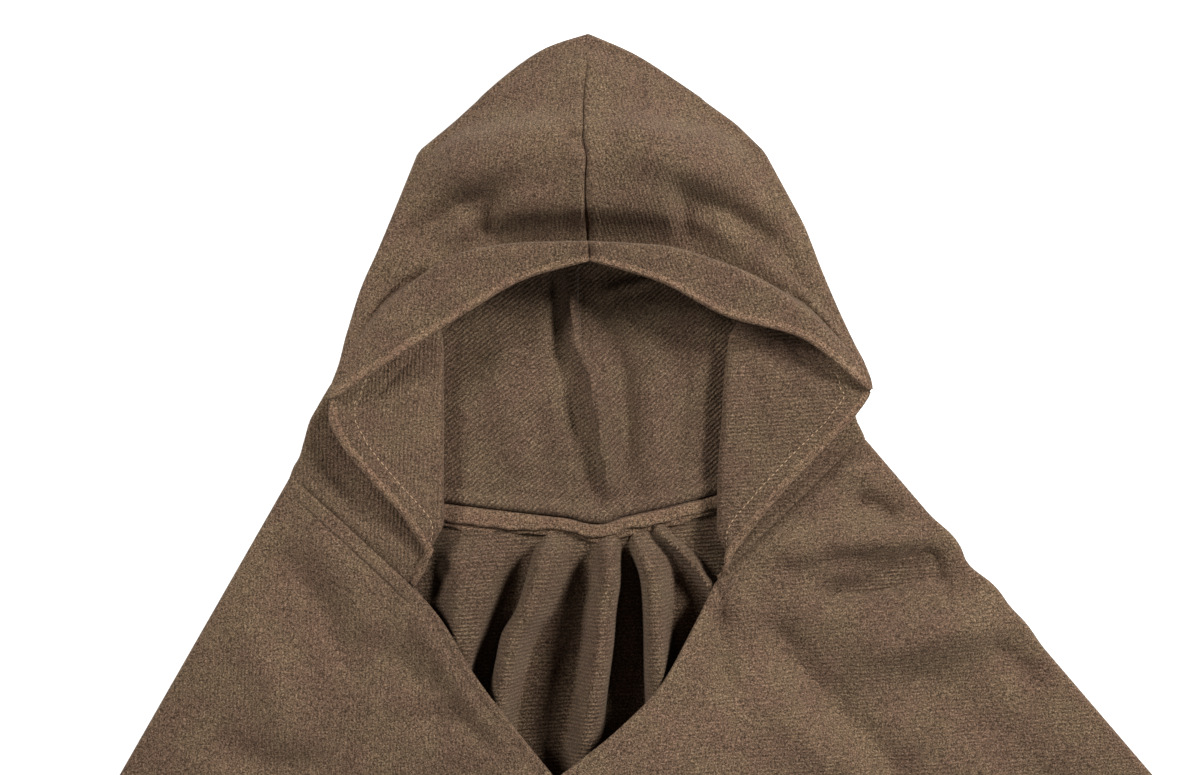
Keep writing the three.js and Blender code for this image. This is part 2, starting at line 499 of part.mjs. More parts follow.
function frontPiece() {
  const top = [];
  const normals = [];
  const roll = [];
  const add = (p, n, r) => { top.push(p); normals.push(n); roll.push(r); };
  const seamEnd = foldStart + FOLD_STEPS + SECOND_STEPS.length;
  const neck = (hood, i) => add(below(hood, i), hood.normals[i], i <= foldStart + FOLD_STEPS ? 1 : 0);
  for (let i = foldStart + halfFold; i <= seamEnd; i += 1) neck(leftHood, i);
  neck(leftHood, leftHood.last);
  const vEdge = (table, at) => { const p = readTable(table, at); add(vec(p.x, p.y, p.z), null, 0); };
  for (const at of [0.5, 1, 1.5, 2, 2.5, 3, 3.5, 4]) vEdge(V_LEFT, at);
  for (const at of [3.5, 3, 2.5, 2, 1.5, 1, 0.5]) vEdge(V_RIGHT, at);
  neck(rightHood, rightHood.last);
  for (let i = seamEnd; i >= foldStart + halfFold; i -= 1) neck(rightHood, i);
  const weights = top.map((p, i) => (i === 0 ? 0
    : Math.hypot(p.x - top[i - 1].x, (p.y - top[i - 1].y) * 0.35) + 2));
  const shares = hemShares(top, weights);
  const side = REST + FOLD_RISE;
  const grid = bodyGrid(top, shares, roll, (i, t, x, y, p) => {
    if (t === 0 || roll[i]) return p.z;
    const inner = ease(Math.min(shares[i], 1 - shares[i]) / 0.12);
    const fall = lerp(p.z, side, ease(t * 1.15) * 0.9 + 0.1 * t);
    return fall + waves(x, y) * inner * ease(t / 0.08);
  });
  const made = finishSides(grid, normals.map((n) => n || vec(0, 0, 1)), 1);
  normals.forEach((n, i) => { if (!n) made.fixed.delete(`0,${i}`); });
  return made;
}

// Band of turned down allowances: lies on the inside of the back just below the neck seam.
function bandPiece(grid, normals) {
  const lift = CLOTH / 2 + BAND.lift + BAND.thick / 2;
  const on = (j, i) => grid[j][i].clone().addScaledVector(normals.get(`${j},${i}`), lift);
  const inside = [];
  grid[0].forEach((p, i) => { if (p.x > BAND.left && p.x < BAND.right) inside.push(i); });
  return [
    inside.map((i) => on(0, i).lerp(on(1, i), 0.04)),
    inside.map((i) => on(1, i)),
    inside.map((i) => on(1, i).lerp(on(2, i), BAND.reach)),
  ];
}

// ---- Assembly ----
const wool = (name, color) => new THREE.MeshStandardMaterial({ name, color, roughness: 0.95, metalness: 0 });
const poncho = new THREE.Group();
poncho.name = "hooded_poncho";
function addMesh(name, geometry, color) {
  const mesh = new THREE.Mesh(geometry, wool(`${name}_wool`, color));
  mesh.name = name;
  mesh.geometry.translate(-MIDDLE.x, -MIDDLE.y, 0);
  poncho.add(mesh);
}
const all = () => true;
const back = backPiece();
const front = frontPiece();
back.grid.forEach((row) => row.reverse());
const backCols = back.grid[0].length;
const backFixed = new Map([...back.fixed].map(([k, f]) => {
  const [j, i] = k.split(",").map(Number);
  return [`${j},${backCols - 1 - i}`, f];
}));
addMesh("hood_left", leftHood.geometry, 0x7a614c);
addMesh("hood_right", rightHood.geometry, 0x7a614c);
addMesh("body_front", clothBody(front.grid, all, front.fixed).geometry, 0x765d49);
const backBody = clothBody(back.grid, all, backFixed);
const band = bandPiece(back.grid, backBody.normals);
addMesh("body_back", backBody.geometry, 0x6f5744);
addMesh("neck_seam", clothBody(band, all, new Map(), BAND.thick).geometry, 0x86705c);

export default poncho;
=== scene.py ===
import math

import bmesh
import bpy
import numpy as np
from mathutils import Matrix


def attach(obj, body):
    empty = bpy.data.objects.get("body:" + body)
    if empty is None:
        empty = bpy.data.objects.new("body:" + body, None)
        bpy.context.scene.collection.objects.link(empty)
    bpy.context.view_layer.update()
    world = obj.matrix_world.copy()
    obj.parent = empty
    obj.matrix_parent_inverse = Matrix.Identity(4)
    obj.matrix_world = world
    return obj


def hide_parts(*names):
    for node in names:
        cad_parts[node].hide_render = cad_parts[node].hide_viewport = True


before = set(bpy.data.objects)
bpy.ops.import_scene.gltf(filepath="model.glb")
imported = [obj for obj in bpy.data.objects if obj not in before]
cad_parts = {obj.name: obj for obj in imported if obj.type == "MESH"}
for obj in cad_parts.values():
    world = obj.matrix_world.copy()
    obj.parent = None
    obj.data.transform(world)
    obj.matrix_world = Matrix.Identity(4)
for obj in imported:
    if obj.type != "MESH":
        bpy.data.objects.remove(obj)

bl_info = {
    "name": "Hooded poncho",
    "version": (1, 0, 0),
    "blender": (4, 5, 0),
    "location": "3D View > Sidebar > Poncho",
    "description": "Builds a hooded wool poncho laid flat, piece by piece",
    "category": "Add Mesh",
}

# Millimetres. X and Y count from the middle of the back neck seam; MIDDLE moves them to the part's frame.
MIDDLE = (52.23, -261.337)
VIEW_CENTRE = (7.4, 109.3)  # the camera stands over this point
CLOTH = 2.6
REST = CLOTH / 2
SEAM_GAP = 0.3
SIDE_RISE = REST + 7.7
HEM_LEFT = (-621, -653)
HEM_RIGHT = (725, -538)
HEM_CENTRE = (0, 20)
HEM_RADIUS = 915
BRIM, TIP = 6, 15  # stations of the brim and of the hood's tip
CORNERS = (11, 13.5)  # stations between which the crown's outline is straight
VALLEY = 7.7  # station of the valley behind the brim
# Rolled edges: radius, and how far each reaches in over its sheet. The right strip's is thinner.
HOOD_EDGE, HOOD_EDGE_REACH, STRIP_THINNER = 2.7, 6, 0.9
V_EDGE, V_EDGE_REACH = 2.1, 9
SEAM_EDGE, SEAM_EDGE_REACH = 1.25, 3.0
EDGE_RIB, SEAM_RIB = 0.25, 0.2
# Dents that stitches press in, from the hood's edge and down from the front neck seam.
HEM_DEPTH, TOPSTITCH_DEPTH = 18.5, 11.5
# Tints on the wool's colours; the edge tint lightens the rolled edges as a painted highlight.
BODY_TINT, SEAM_TINT, EDGE_HIGHLIGHT_TINT = (0.98, 0.98, 0.98), (1.15, 1.1, 1.1), (1.22, 1.19, 1.19)
RIB_PITCH = 0.0029  # metres from one twill line to the next
THREAD, STITCH_PITCH = 0.0007, 1.35  # thread in metres, and stitch pitch in stitch lengths
# Soft lights: place in metres, and power as a multiple of the key light setting.
LIGHTS = {
    "left": ((-1.75, 1.45, 1.5), 0.86), "right": ((1.75, 1.25, 1.5), 1.42),
    "foot left": ((-1.8, -1.1, 1.5), 0.2), "foot right": ((1.7, -1.2, 1.5), 0.27),
}
LIGHT_SIZE, LIGHT_AIM = 0.7, (-0.045, 0.3, 0)
SENSOR, CHEST = 36, 0.03  # camera sensor in millimetres, and height of the cloth in focus in metres


def table(text):
    """Rows of named numbers: the first line names the columns, and a dash leaves a place empty."""
    lines = [line.split() for line in text.strip().splitlines()]
    return [{k: float(v) for k, v in zip(lines[0], row) if v != "-"} for row in lines[1:]]


# Middle line of the hood: sx sy sz the back seam on the floor, ex ey ez the seam of the crown.
CENTRE = table("""
at   sx   sy   sz  ex   ey    ez
0    8    10.7 10  0    0     0
1    7    22   12  0    0     0
3    4    64   8   0    0     0
6    -2   120  7   0    202.5 60
7    -6   146  8   -1   215   66
7.7  -8   164  8   -2   219   13
8    -9   172  8   -2   227   21
9    -9   200  5   -3   245   40
10   -6   228  3   -4   262   47
11   -5   251  1.6 -3   279   52
12   -5   275  1.3 -5   297   47
13   -5   300  1.3 -5   314   35.5
14   -4   327  1.3 -4   333   28
14.5 -3   339  1.3 -3   343   23.7
15   -1.5 350  1.3 -1.5 352   19
""")
# Hood halves by station, neck to tip. a: outer side fold, b: roll beside the face opening, c: front
# edge and, from station 6, the upper side fold; 1 2 3: crown on its way in from c to the seam.
# The two halves lie at the same heights, za to z3, and each has its own plan.
HEIGHTS = table("""
at   za  zb   zd   zc   ze   z1   z2   z3
0    9   16   17   18   -    -    -    -
1    9   15   22   22.5 -    -    -    -
2    9   14   23   25   -    -    -    -
3    9   13.5 23   27   -    -    -    -
4    9   13   23   28.5 -    -    -    -
5    9   12.5 22.5 29.5 -    -    -    -
6    9   12   22   29.5 36.5 44   50   56
7    8.6 12   21   26   33   43   55   62
7.7  8.4 11.3 19.6 23.5 30.5 28   18   14
8    8.3 11   19   22.5 29.5 32   23   21
9    7.6 9.5  15.5 17   24.5 27   33   38
10   7   8.5  13   13   21   25   36   43
11   5   6    8    5    16   35   46   50
12   1.3 1.3  1.3  1.6  12.8 30   40   45
13   1.3 1.3  1.3  1.3  11   18   25   31.5
14   1.3 1.3  1.3  1.3  9.5  14   19   24
14.5 1.3 1.3  1.3  1.3  9    12.5 16.5 20.5
15   1.3 1.3  1.3  1.3  8.7  11.5 14   16.5
""")


def hood_table(places):
    """Rows of one hood half: its own places with the heights that both halves share."""
    return [{**heights, **row} for heights, row in zip(HEIGHTS, table(places))]


LEFT = hood_table("""
at   ax     ay  bx    by  cx     cy    y1  y2    y3
0    -224   41  -126  -35 -131.5 -39.5 -   -     -
1    -221   49  -113  -14 -121   -19   -   -     -
2    -216.5 57  -110  10  -136   10    -   -     -
3    -213   69  -110  40  -163   41    -   -     -
4    -209   83  -110  68  -185   69    -   -     -
5    -202   96  -110  88  -193   87    -   -     -
6    -195   108 -110  102 -193   101   132 162   189
7    -182   128 -110  128 -184.5 128   180 208   214
7.7  -177   143 -111  145 -180.5 145   190 212   219
8    -175   150 -112  152 -178.5 152   197 219   226
9    -165   180 -124  181 -169.5 182   215 235   243
10   -148   210 -132  211 -157   211   233 251   259
11   -104   247 -96   247 -143   246   259 272   280
12   -92    281 -84   281 -127.5 285   290 294   296
13   -68    304 -58   304 -101   307   311 313.5 314
14   -38    333 -30   333 -65    340   340 339   336.5
14.5 -19    348 -15   348 -31.5  363   355 352   347.5
15   -1.52  358 -1.52 358 -1.52  373   364 360.5 356.5
""")
RIGHT = hood_table("""
at   ax    ay  bx    by  cx    cy    y1    y2    y3
0    205   70  90    -28 95    -33   -     -     -
1    203   75  94.5  -17 102.5 -20   -     -     -
2    201   79  95.5  4   119   3     -     -     -
3    199   83  96    32  144   33    -     -     -
4    197.5 88  97    58  169   60    -     -     -
5    196   94  99    82  196   88    -     -     -
6    196   102 100   102 208   108   147   161   187
7    192   126 102   126 202.5 127   172   198   212
7.7  188.5 137 104   140 197.5 137   183   207   218
8    187   142 105   146 195   142   190   214   225
9    178   166 122   172 185   164   206   231   242
10   163   197 146   199 172   195   225   247   258
11   114   235 106   235 158   232   252   268   279
12   94    281 86    281 129.5 285   290   294   296
13   72    303 64    303 108   306   310.5 313.5 314
14   38    332 32    332 61.5  339.5 339.5 339   336.5
14.5 17    345 14    345 31.5  358.5 352   350   347
15   -1.48 358 -1.48 358 -1.48 373   364   360.5 356.5
""")
V_LEFT = table("""
at x      y     z
0  -131.5 -39.5 18
1  -111   -63   26
2  -85    -104  38
3  -59    -137  48
4  -25    -178  57
""")
V_RIGHT = table("""
at x   y    z
0  95  -33  18
1  76  -70  28
2  52  -111 41
3  20  -143 50
4  -25 -178 57
""")
# Flutes of the back by depth below the neck: crest x, reach of the left and right flank, height.
FLUTES = {
    ("flat", "flat"): [table("""
at  x    l  r  h
-14 -84  34 34 0
6   -84  36 44 5
20  -84  36 34 14
40  -85  32 23 19
63  -89  26 17 22
98  -97  20 13 22
180 -125 22 18 12
400 -190 30 30 0
""")],
    ("soft", "soft"): [table("""
at  x    l  r  h
-10 49   7  7  2
0   54   8  7  9
15  71   9  7  15
38  89   10 8  17
60  104  10 10 12
100 120  12 12 0
""")],
    ("crisp", "soft"): [table("""
at  x     l  r  h
-5  -27   4  24 0
3   -29.5 6  29 5
15  -33.5 9  31 22
30  -37   9  30 30
57  -45.5 9  23 33
76  -56   10 18 33
97  -60.5 10 15 33
118 -65   10 15 33
180 -80   14 22 28
400 -140  24 30 0
"""), table("""
at  x    l   r  h
-5  34   5   18 0
3   35   6   20 5
18  41.5 9   22 25
32  46.5 9   18 31
51  49   9.5 14 33
73  50   9.5 13 34
103 51   10  13 34
180 58   14  18 28
400 95   24  30 0
""")],
    ("soft", "crisp"): [table("""
at  x    l  r   h
-5  14   13 8   0
3   14   13 9   5
15  13.5 14 9.5 22
35  13   15 10  31
57  9.5  15 10  33
80  7.5  15 10  34
110 3.5  15 10  34
180 -6   20 14  30
400 -30  34 26  0
""")],
}
# Slow waves of the front.
WAVES = table("""
x0   y0   x1   y1   half height
235  -6   150  22   22   5
275  -60  120  -40  34   5
330  -170 110  -150 60   6
-290 -150 -150 -110 60   4
-60  -300 -230 -620 60   9
60   -300 170  -640 70   10
330  -330 480  -520 55   7
-350 -330 -440 -600 50   6
""")
KINKS = table("""
at    out  half
0.12  3.8  0.03
0.155 -2.5 0.022
0.185 3.2  0.028
0.225 2.6  0.035
""")
# Creases on each layer: half width, height (a trough is negative) and the line they follow.
CREASES = {
    "lower": [
        # inside of the hood's back: the seam ridge, its neighbours and the tuck under the brim
        (6.5, 8.0, [(-16, 206), (-14, 172), (-12.5, 143), (-7, 133), (0, 120), (5, 92), (11, 52),
                    (16, 24)]),
        (12, 4.5, [(1, 122), (6, 90), (13, 50), (17, 26)]),
        (11, -6, [(-27, 204), (-26, 160), (-21, 118), (-12, 84), (-8, 60)]),
        (11, -6, [(5, 176), (16, 150), (24, 124), (29, 80), (28, 34)]),
        (16, 5.5, [(50, 150), (47, 100), (48, 60), (46, 26)]),
        (5, 3.2, [(8, 178), (22, 183), (37, 187), (48, 189)]),
        (9, -2.2, [(-6, 190), (14, 194), (34, 198)]),
        (26, 6.0, [(-66, 150), (-60, 100), (-52, 40)]),
        (12, -3.2, [(-40, 96), (-34, 60), (-26, 30)]),
        (12, -5, [(72, 130), (68, 90), (64, 44)]),
    ],
    "second": [
        # second layer, beside the neck
        (14, 2.4, [(-196, 86), (-170, 44), (-146, 6)]),
        (9, -2.2, [(-206, 74), (-186, 36), (-162, 4)]),
        (4, 1.6, [(190, 78), (160, 48), (124, 10)]),
    ],
    "strip": [
        # front strip, with the inner edge of its turned hem
        (3, -2.2, [(-168, 73), (-166, 88), (-159, 101), (-141, 121), (-126, 137)]),
        (3, 2.2, [(181, 85), (176, 91), (167, 104), (152, 126), (137, 152)]),
        (12, 2.0, [(-128, 116), (-130, 80), (-126, 44)]),
        (12, -2.0, [(118, 132), (122, 96), (128, 60)]),
    ],
    "valley": [
        # foot of the hood's crown, behind the brim
        (26, -9.0, [(-172, 168), (-118, 200), (-81, 214), (0, 216), (81, 213), (125, 184), (160, 158)]),
        (30, -15.0, [(-62, 236), (-100, 245), (-136, 216)]),
        (30, -16.0, [(58, 236), (98, 245), (138, 214)]),
    ],
    "crown": [
        (24, 6.0, [(-20, 304), (-70, 282), (-112, 262)]),
        (26, 7.0, [(18, 304), (50, 290), (112, 262)]),
        (14, 2.5, [(-150, 214), (-162, 182), (-172, 152)]),
        (12, -3.5, [(-172, 176), (-158, 186), (-136, 186)]),
        (16, -3.0, [(140, 214), (150, 190), (158, 168)]),
        (12, 2.8, [(108, 196), (140, 178), (168, 158)]),
        (10, 2.2, [(-160, 146), (-124, 166), (-88, 182)]),
        (7, -4.0, [(-18, 297), (-10, 293), (-6, 281)]),
        (5, 2.2, [(-22, 290), (-14, 285), (-8, 275)]),
    ],
    "front": [
        # front, right shoulder: ripples that run in from the side
        (12, 5.0, [(176, 44), (200, 50), (216, 46)]),
        (13, -9.0, [(196, 26), (214, 20), (232, 12)]),
        (17, 13.0, [(136, -16), (182, -6), (226, -3), (262, 6)]),
        (14, -15.0, [(168, -46), (204, -42), (236, -31), (266, -12)]),
        (26, 10.0, [(186, -94), (240, -86), (298, -68), (322, -64)]),
        (12, -7.4, [(230, -22), (256, -24), (270, -40)]),
        (22, 9.5, [(200, -84), (246, -74), (296, -54), (320, -58)]),
        (16, -8.1, [(300, -78), (322, -96), (338, -112)]),
        (20, -8.8, [(128, -60), (150, -92), (190, -136), (240, -190)]),
        (12, -6.1, [(96, -52), (98, -92), (108, -120)]),
        (26, 6.1, [(120, -110), (190, -170), (250, -240)]),
        (28, -5.4, [(240, -100), (300, -150), (380, -230)]),
        (10, 4.1, [(118, -22), (150, 8), (184, 38)]),
        # front, left shoulder: calmer
        (20, 4.7, [(-206, 4), (-180, -30), (-160, -80)]),
        (16, -4.7, [(-236, -10), (-204, -50), (-178, -110)]),
        (24, 4.7, [(-262, -60), (-232, -120), (-206, -180)]),
        (15, -4.7, [(-150, -84), (-128, -112), (-104, -104)]),
        (14, 4.1, [(-134, -56), (-108, -96), (-76, -146)]),
        (13, -4.1, [(-130, -140), (-96, -132), (-70, -160)]),
        (22, -5.4, [(-290, -150), (-240, -176), (-190, -170)]),
        # front, lower down
        (9, -4.5, [(-22, -184), (-2, -196), (18, -206)]),
        (28, -5.0, [(-20, -240), (-60, -380), (-90, -560)]),
        (32, 5.0, [(30, -230), (20, -380), (40, -600)]),
        (28, -5.0, [(90, -260), (130, -420), (180, -640)]),
        (32, 5.0, [(-130, -250), (-190, -420), (-260, -640)]),
        (28, -4.5, [(-210, -240), (-290, -400), (-390, -600)]),
        (28, 4.5, [(240, -260), (330, -400), (440, -560)]),
        (26, -4.0, [(330, -230), (430, -350), (540, -470)]),
    ],
}
# The way the twill lines of each layer run on the left and the right, in degrees from +X.
TWILL = {"lower": (38, 42), "second": (88, 4), "strip": (88, 4), "crown": (84, 108), "front": (88, 4),
         "back": (4, 8)}
# How strongly the twill lines stand out on each layer, in bump and in the painted shade of their hollows.
RIBS = {"lower": 1.0, "second": 0.75, "strip": 0.75, "crown": 0.5, "front": 0.45, "back": 1.0}


def ease(t):
    c = np.clip(t, 0, 1)
    return c * c * (3 - 2 * c)


def lerp(a, b, t):
    return a + (b - a) * t


def unit(v):
    """A vector, or a row of them, at length one."""
    return v / np.linalg.norm(v, axis=-1, keepdims=True)


def run_along(line):
    """Distance of each point of a line from its first point."""
    return np.concatenate([[0], np.cumsum(np.linalg.norm(np.diff(line, axis=0), axis=1))])


def read(rows, at):
    """A row between the table's rows: a smooth curve through each column."""
    i = 0
    while i < len(rows) - 2 and at >= rows[i + 1]["at"]:
        i += 1
    p0, p1, p2, p3 = rows[max(0, i - 1)], rows[i], rows[i + 1], rows[min(len(rows) - 1, i + 2)]
    span = p2["at"] - p1["at"]
    t = (at - p1["at"]) / span
    if t == 0:
        return dict(p1)

    def slope(a, b, c, key):
        left = (b[key] - a[key]) / (b["at"] - a["at"]) if b["at"] > a["at"] and key in a else None
        right = (c[key] - b[key]) / (c["at"] - b["at"]) if c["at"] > b["at"] else None
        if left is None:
            return right
        if right is None:
            return left
        return 0 if left * right <= 0 else 2 * left * right / (left + right)

    out = {}
    for key in p2:
        if key in p1:
            m1, m2 = slope(p0, p1, p2, key) * span, slope(p1, p2, p3, key) * span
            out[key] = ((2 * t**3 - 3 * t**2 + 1) * p1[key] + (t**3 - 2 * t**2 + t) * m1
                        + (3 * t**2 - 2 * t**3) * p2[key] + (t**3 - t**2) * m2)
            if key in ("cx", "cy") and CORNERS[0] <= at <= CORNERS[1]:
                out[key] = lerp(p1[key], p2[key], t)
    return out


def crease_height(layer, x, y):
    """Height of the listed creases of one layer, for arrays of places."""
    z = np.zeros_like(x)
    for half, height, line in CREASES[layer]:
        lengths = [math.dist(a, b) for a, b in zip(line, line[1:])]
        total, run = sum(lengths), 0.0
        nearest, share = np.full(x.shape, 1e9), np.zeros_like(x)
        for (x0, y0), (x1, y1), length in zip(line, line[1:], lengths):
            t = np.clip(((x - x0) * (x1 - x0) + (y - y0) * (y1 - y0)) / length**2, 0, 1)
            d = np.hypot(x - lerp(x0, x1, t), y - lerp(y0, y1, t))
            closer = d < nearest
            nearest = np.where(closer, d, nearest)
            share = np.where(closer, (run + t * length) / total, share)
            run += length
        across = np.where(nearest < half * 1.6, np.exp(-2.2 * (nearest / half) ** 2), 0)
        z += height * across * ease(share / 0.22 + 0.25) * ease((1 - share) / 0.22 + 0.25)
    return z


def slack(x, y, seed):
    """Slight unevenness of lying cloth, about a millimetre."""
    return (1.0 * np.sin(x / 23 + y / 41 + seed) * np.sin(y / 31 - x / 57 + 2 * seed)
            + 0.7 * np.sin(x / 13 - y / 19 + 3 * seed) * np.sin(y / 14 + x / 27 + seed)
            + 0.25 * np.sin(x / 6 + y / 9 + seed) * np.sin(y / 7 - x / 11 + 2 * seed))


def fold_arc(p, q, out, depth, steps):
    """Half turn of a fold from p to q, bulging by depth along out."""
    angle = np.pi * np.arange(1, steps + 1) / steps
    t = ((1 - np.cos(angle)) / 2)[:, None]
    return p + (q - p) * t + np.asarray(out)[None, :] * (depth * np.sin(angle))[:, None]


N_LOWER, N_FOLD, N_SECOND, N_THIRD, N_CROWN = 88, 8, 16, 34, 64
LOWER_END = N_LOWER
SEAM_END = N_LOWER + N_FOLD + N_SECOND
LAST = SEAM_END + N_FOLD + N_THIRD
WIDTH = LAST + N_FOLD + N_CROWN + 1


def crown_row(r, at, start, end):
    """The crown's part of a row, from the upper side fold in to the seam, tucked in under the brim."""
    knots = [dict(at=0, y=start[1], z=start[2]), dict(at=0.25, y=r["y1"], z=r["z1"]),
             dict(at=0.5, y=r["y2"], z=r["z2"]), dict(at=0.75, y=r["y3"], z=r["z3"]),
             dict(at=1, y=end[1], z=end[2])]
    f = np.linspace(0, 1, N_CROWN + 1)[1:]
    at_f = [read(knots, v) for v in f]
    tuck = 9 * math.exp(-(((at - VALLEY) / 0.35) ** 2)) * ease((f - 0.12) / 0.3)
    return np.stack([lerp(start[0], end[0], f), np.array([k["y"] for k in at_f]) - tuck,
                     [k["z"] for k in at_f]], 1)


def hood_row(rows, at, side):
    """One row of a hood half: back seam, side fold, roll, front edge, and up over to the crown seam."""
    r, mid = read(rows, at), read(CENTRE, at)
    start = np.array([mid["sx"] + side * 0.02, mid["sy"], mid["sz"]])
    pleat = float(1 - ease((at - 9) / 2))
    sag = (-6.5 if side > 0 else -2) * float(1 - ease(at / 2))
    depth_a = max(1.2, (r["za"] - REST) / 2)
    in_a = np.array([r["ax"] - side * depth_a * pleat, r["ay"], REST])
    f = np.linspace(0, 1, N_LOWER + 1)
    swell = 3 * np.sin(np.pi * f) ** 2 * ease(at / 1.5) * (1 - ease((at - 6) / 3)) if at < 9 else 0 * f
    lobe = np.exp(-(((lerp(start[0], in_a[0], f) - 4) / 15) ** 4)) * (1 - ease(at / 0.8))
    lower = np.stack([lerp(start[0], in_a[0], f),
                      lerp(start[1], in_a[1], f) + sag * np.sin(np.pi * f) - 2.4 * lobe,
                      lerp(start[2], REST, ease(f * 1.35)) + swell * (1 - ease((f - 0.5) / 0.5))], 1)
    out_a = np.array([r["ax"] - side * depth_a, r["ay"], r["za"]])
    depth_b = max(0.8, (r["zd"] - r["zb"]) / 2)
    in_b = np.array([r["bx"] + side * depth_b, r["by"], r["zb"]])
    out_b = np.array([r["bx"] + side * depth_b, r["by"], r["zd"]])
    depth_c = (r["ze"] - r["zc"]) / 2 if at >= BRIM else 0
    up, down = read(rows, min(TIP, at + 0.3)), read(rows, max(BRIM, at - 0.3))
    out = np.array([side, 0.0, 0.0])
    if at == TIP:
        out = np.array([0.0, 1.0, 0.0])
    elif at > BRIM:
        out = np.array([side * (up["cy"] - down["cy"]), side * (down["cx"] - up["cx"]), 0])
        out = unit(out)
    end_c = np.array([r["cx"], r["cy"], r["zc"]]) - out * depth_c
    sideways = np.array([side, 0, 0])
    second = np.linspace(0, 1, N_SECOND + 1)[1:, None]
    third = np.linspace(0, 1, N_THIRD + 1)[1:, None]
    folded = np.concatenate([
        fold_arc(in_a, out_a, sideways, depth_a, N_FOLD), out_a + (in_b - out_a) * second,
        fold_arc(in_b, out_b, -sideways, depth_b, N_FOLD), out_b + (end_c - out_b) * third])
    n = len(folded)
    share = (np.arange(1, n + 1) / n)[:, None]
    opened = in_a + (end_c - in_a) * share
    if at > BRIM:
        middle = opened + (folded - opened) * pleat
    else:
        roll = float(ease((at - 0.4) / 1.6))
        k = np.arange(n)
        n_b = N_FOLD + N_SECOND
        reach = np.where(k < n_b, 0.94 * (k + 1 - N_FOLD) / N_SECOND,
                         0.94 + 0.06 * (k + 1 - n_b) / (n - n_b))
        straight = out_a + (end_c - out_a) * reach[:, None]
        middle = np.where((k < N_FOLD)[:, None], folded, straight + (folded - straight) * roll)
    parts = [lower, middle]
    if at >= BRIM:
        top_c = np.array([end_c[0], end_c[1], r["ze"]])
        end = np.array([mid["ex"] + side * 0.02, mid["ey"], mid["ez"]])
        parts += [fold_arc(end_c, top_c, out, depth_c, N_FOLD), crown_row(r, at, top_c, end)]
    else:
        parts.append(np.repeat(middle[-1:], N_FOLD + N_CROWN, 0))
    return np.concatenate(parts)


def hood_grid(side):
    """Middle surface of a hood half, its cells, and the stations of its rows."""
    rows = LEFT if side < 0 else RIGHT
    stations = np.unique(np.round(np.concatenate([
        np.arange(0, 2, 0.1), np.arange(2, 5, 0.14), np.arange(5, 6, 0.1), np.arange(6, 9, 0.09),
        np.arange(9, 14, 0.14), np.arange(14, 15, 0.1), [6, 15]]), 4))
    grid = np.array([hood_row(rows, float(a), side) for a in stations])
    at = stations[:, None]
    # creases of each layer, fading out at its folds
    spans = [("lower", 0, LOWER_END), ("second", LOWER_END + N_FOLD, SEAM_END),
             ("strip", SEAM_END + N_FOLD, LAST), ("crown", LAST + N_FOLD, WIDTH - 1)]
    for layer, a, b in spans:
        x, y = grid[:, a:b + 1, 0], grid[:, a:b + 1, 1]
        f = np.linspace(0, 1, b - a + 1)[None, :]
        window = ease((1 - f) / 0.2) if layer == "lower" else ease(f / 0.12) if layer == "crown" \
            else ease(f / 0.15) * ease((1 - f) / 0.1)
        near_neck = ease(at / 0.8)
        tip = 1 - ease((at - 13) / 1.5)
        z = crease_height(layer, x, y) + slack(x, y, side + len(layer))
        if layer == "crown":
            z += crease_height("valley", x, y) * ease((at - 7.3) / 0.6)
        z = z * window * near_neck * tip
        if layer == "lower":  # the lower edge rolls over the neck seam
            z += 5.0 * ease(at / 0.14) * (1 - ease((at - 0.3) / 0.8)) * window * (np.abs(x) < 140)
        if layer == "strip":  # doubled hem: raised a little, with a dent along its stitches
            steps = np.linalg.norm(np.diff(grid[:, a:b + 1][:, ::-1], axis=1), axis=2)
            from_edge = np.concatenate([np.zeros((len(grid), 1)), np.cumsum(steps, axis=1)], 1)[:, ::-1]
            past = from_edge - HEM_DEPTH
            doubled = 1.5 * (1 - ease(past / 2.5)) - 1.1 * np.exp(-(past / 1.3) ** 2)
            z += doubled * ease((at - 0.8) / 0.8) * ease(f / 0.15)
        if layer == "crown":  # the seam of the crown lies in a fine groove
            gap = np.abs(x - x[:, -1:])
            fine = np.clip(0.08 * gap.max(axis=1, keepdims=True), 0.05, 1.3)
            sewn = 1 - ease((at - 14.75) / 0.25)
            z += (0.9 * np.exp(-(((gap - 5) / 3) ** 2)) - 2.4 * np.exp(-((gap / fine) ** 2))) * sewn
        if layer in ("second", "strip"):
            z -= 3.0 * (1 - ease(at / 0.16)) * ease(f / 0.15) * ease((1 - f) / 0.1)
        lowest = REST if layer == "lower" else -99
        grid[:, a:b + 1, 2] = np.maximum(grid[:, a:b + 1, 2] + z, lowest)
    cells = np.ones((len(stations) - 1, WIDTH - 1), bool)
    cells[stations[:-1] < BRIM, LAST:] = False
    return grid, cells, stations


def smooth_normals(grid, cells):
    d1 = grid[1:, 1:] - grid[:-1, :-1]
    d2 = grid[1:, :-1] - grid[:-1, 1:]
    n = np.cross(d1, d2)
    n /= np.maximum(np.linalg.norm(n, axis=2, keepdims=True), 1e-9)
    n[~cells] = 0
    total = np.zeros_like(grid)
    for j in (0, 1):
        for i in (0, 1):
            total[j:j + n.shape[0], i:i + n.shape[1]] += n
    return total / np.maximum(np.linalg.norm(total, axis=2, keepdims=True), 1e-9)


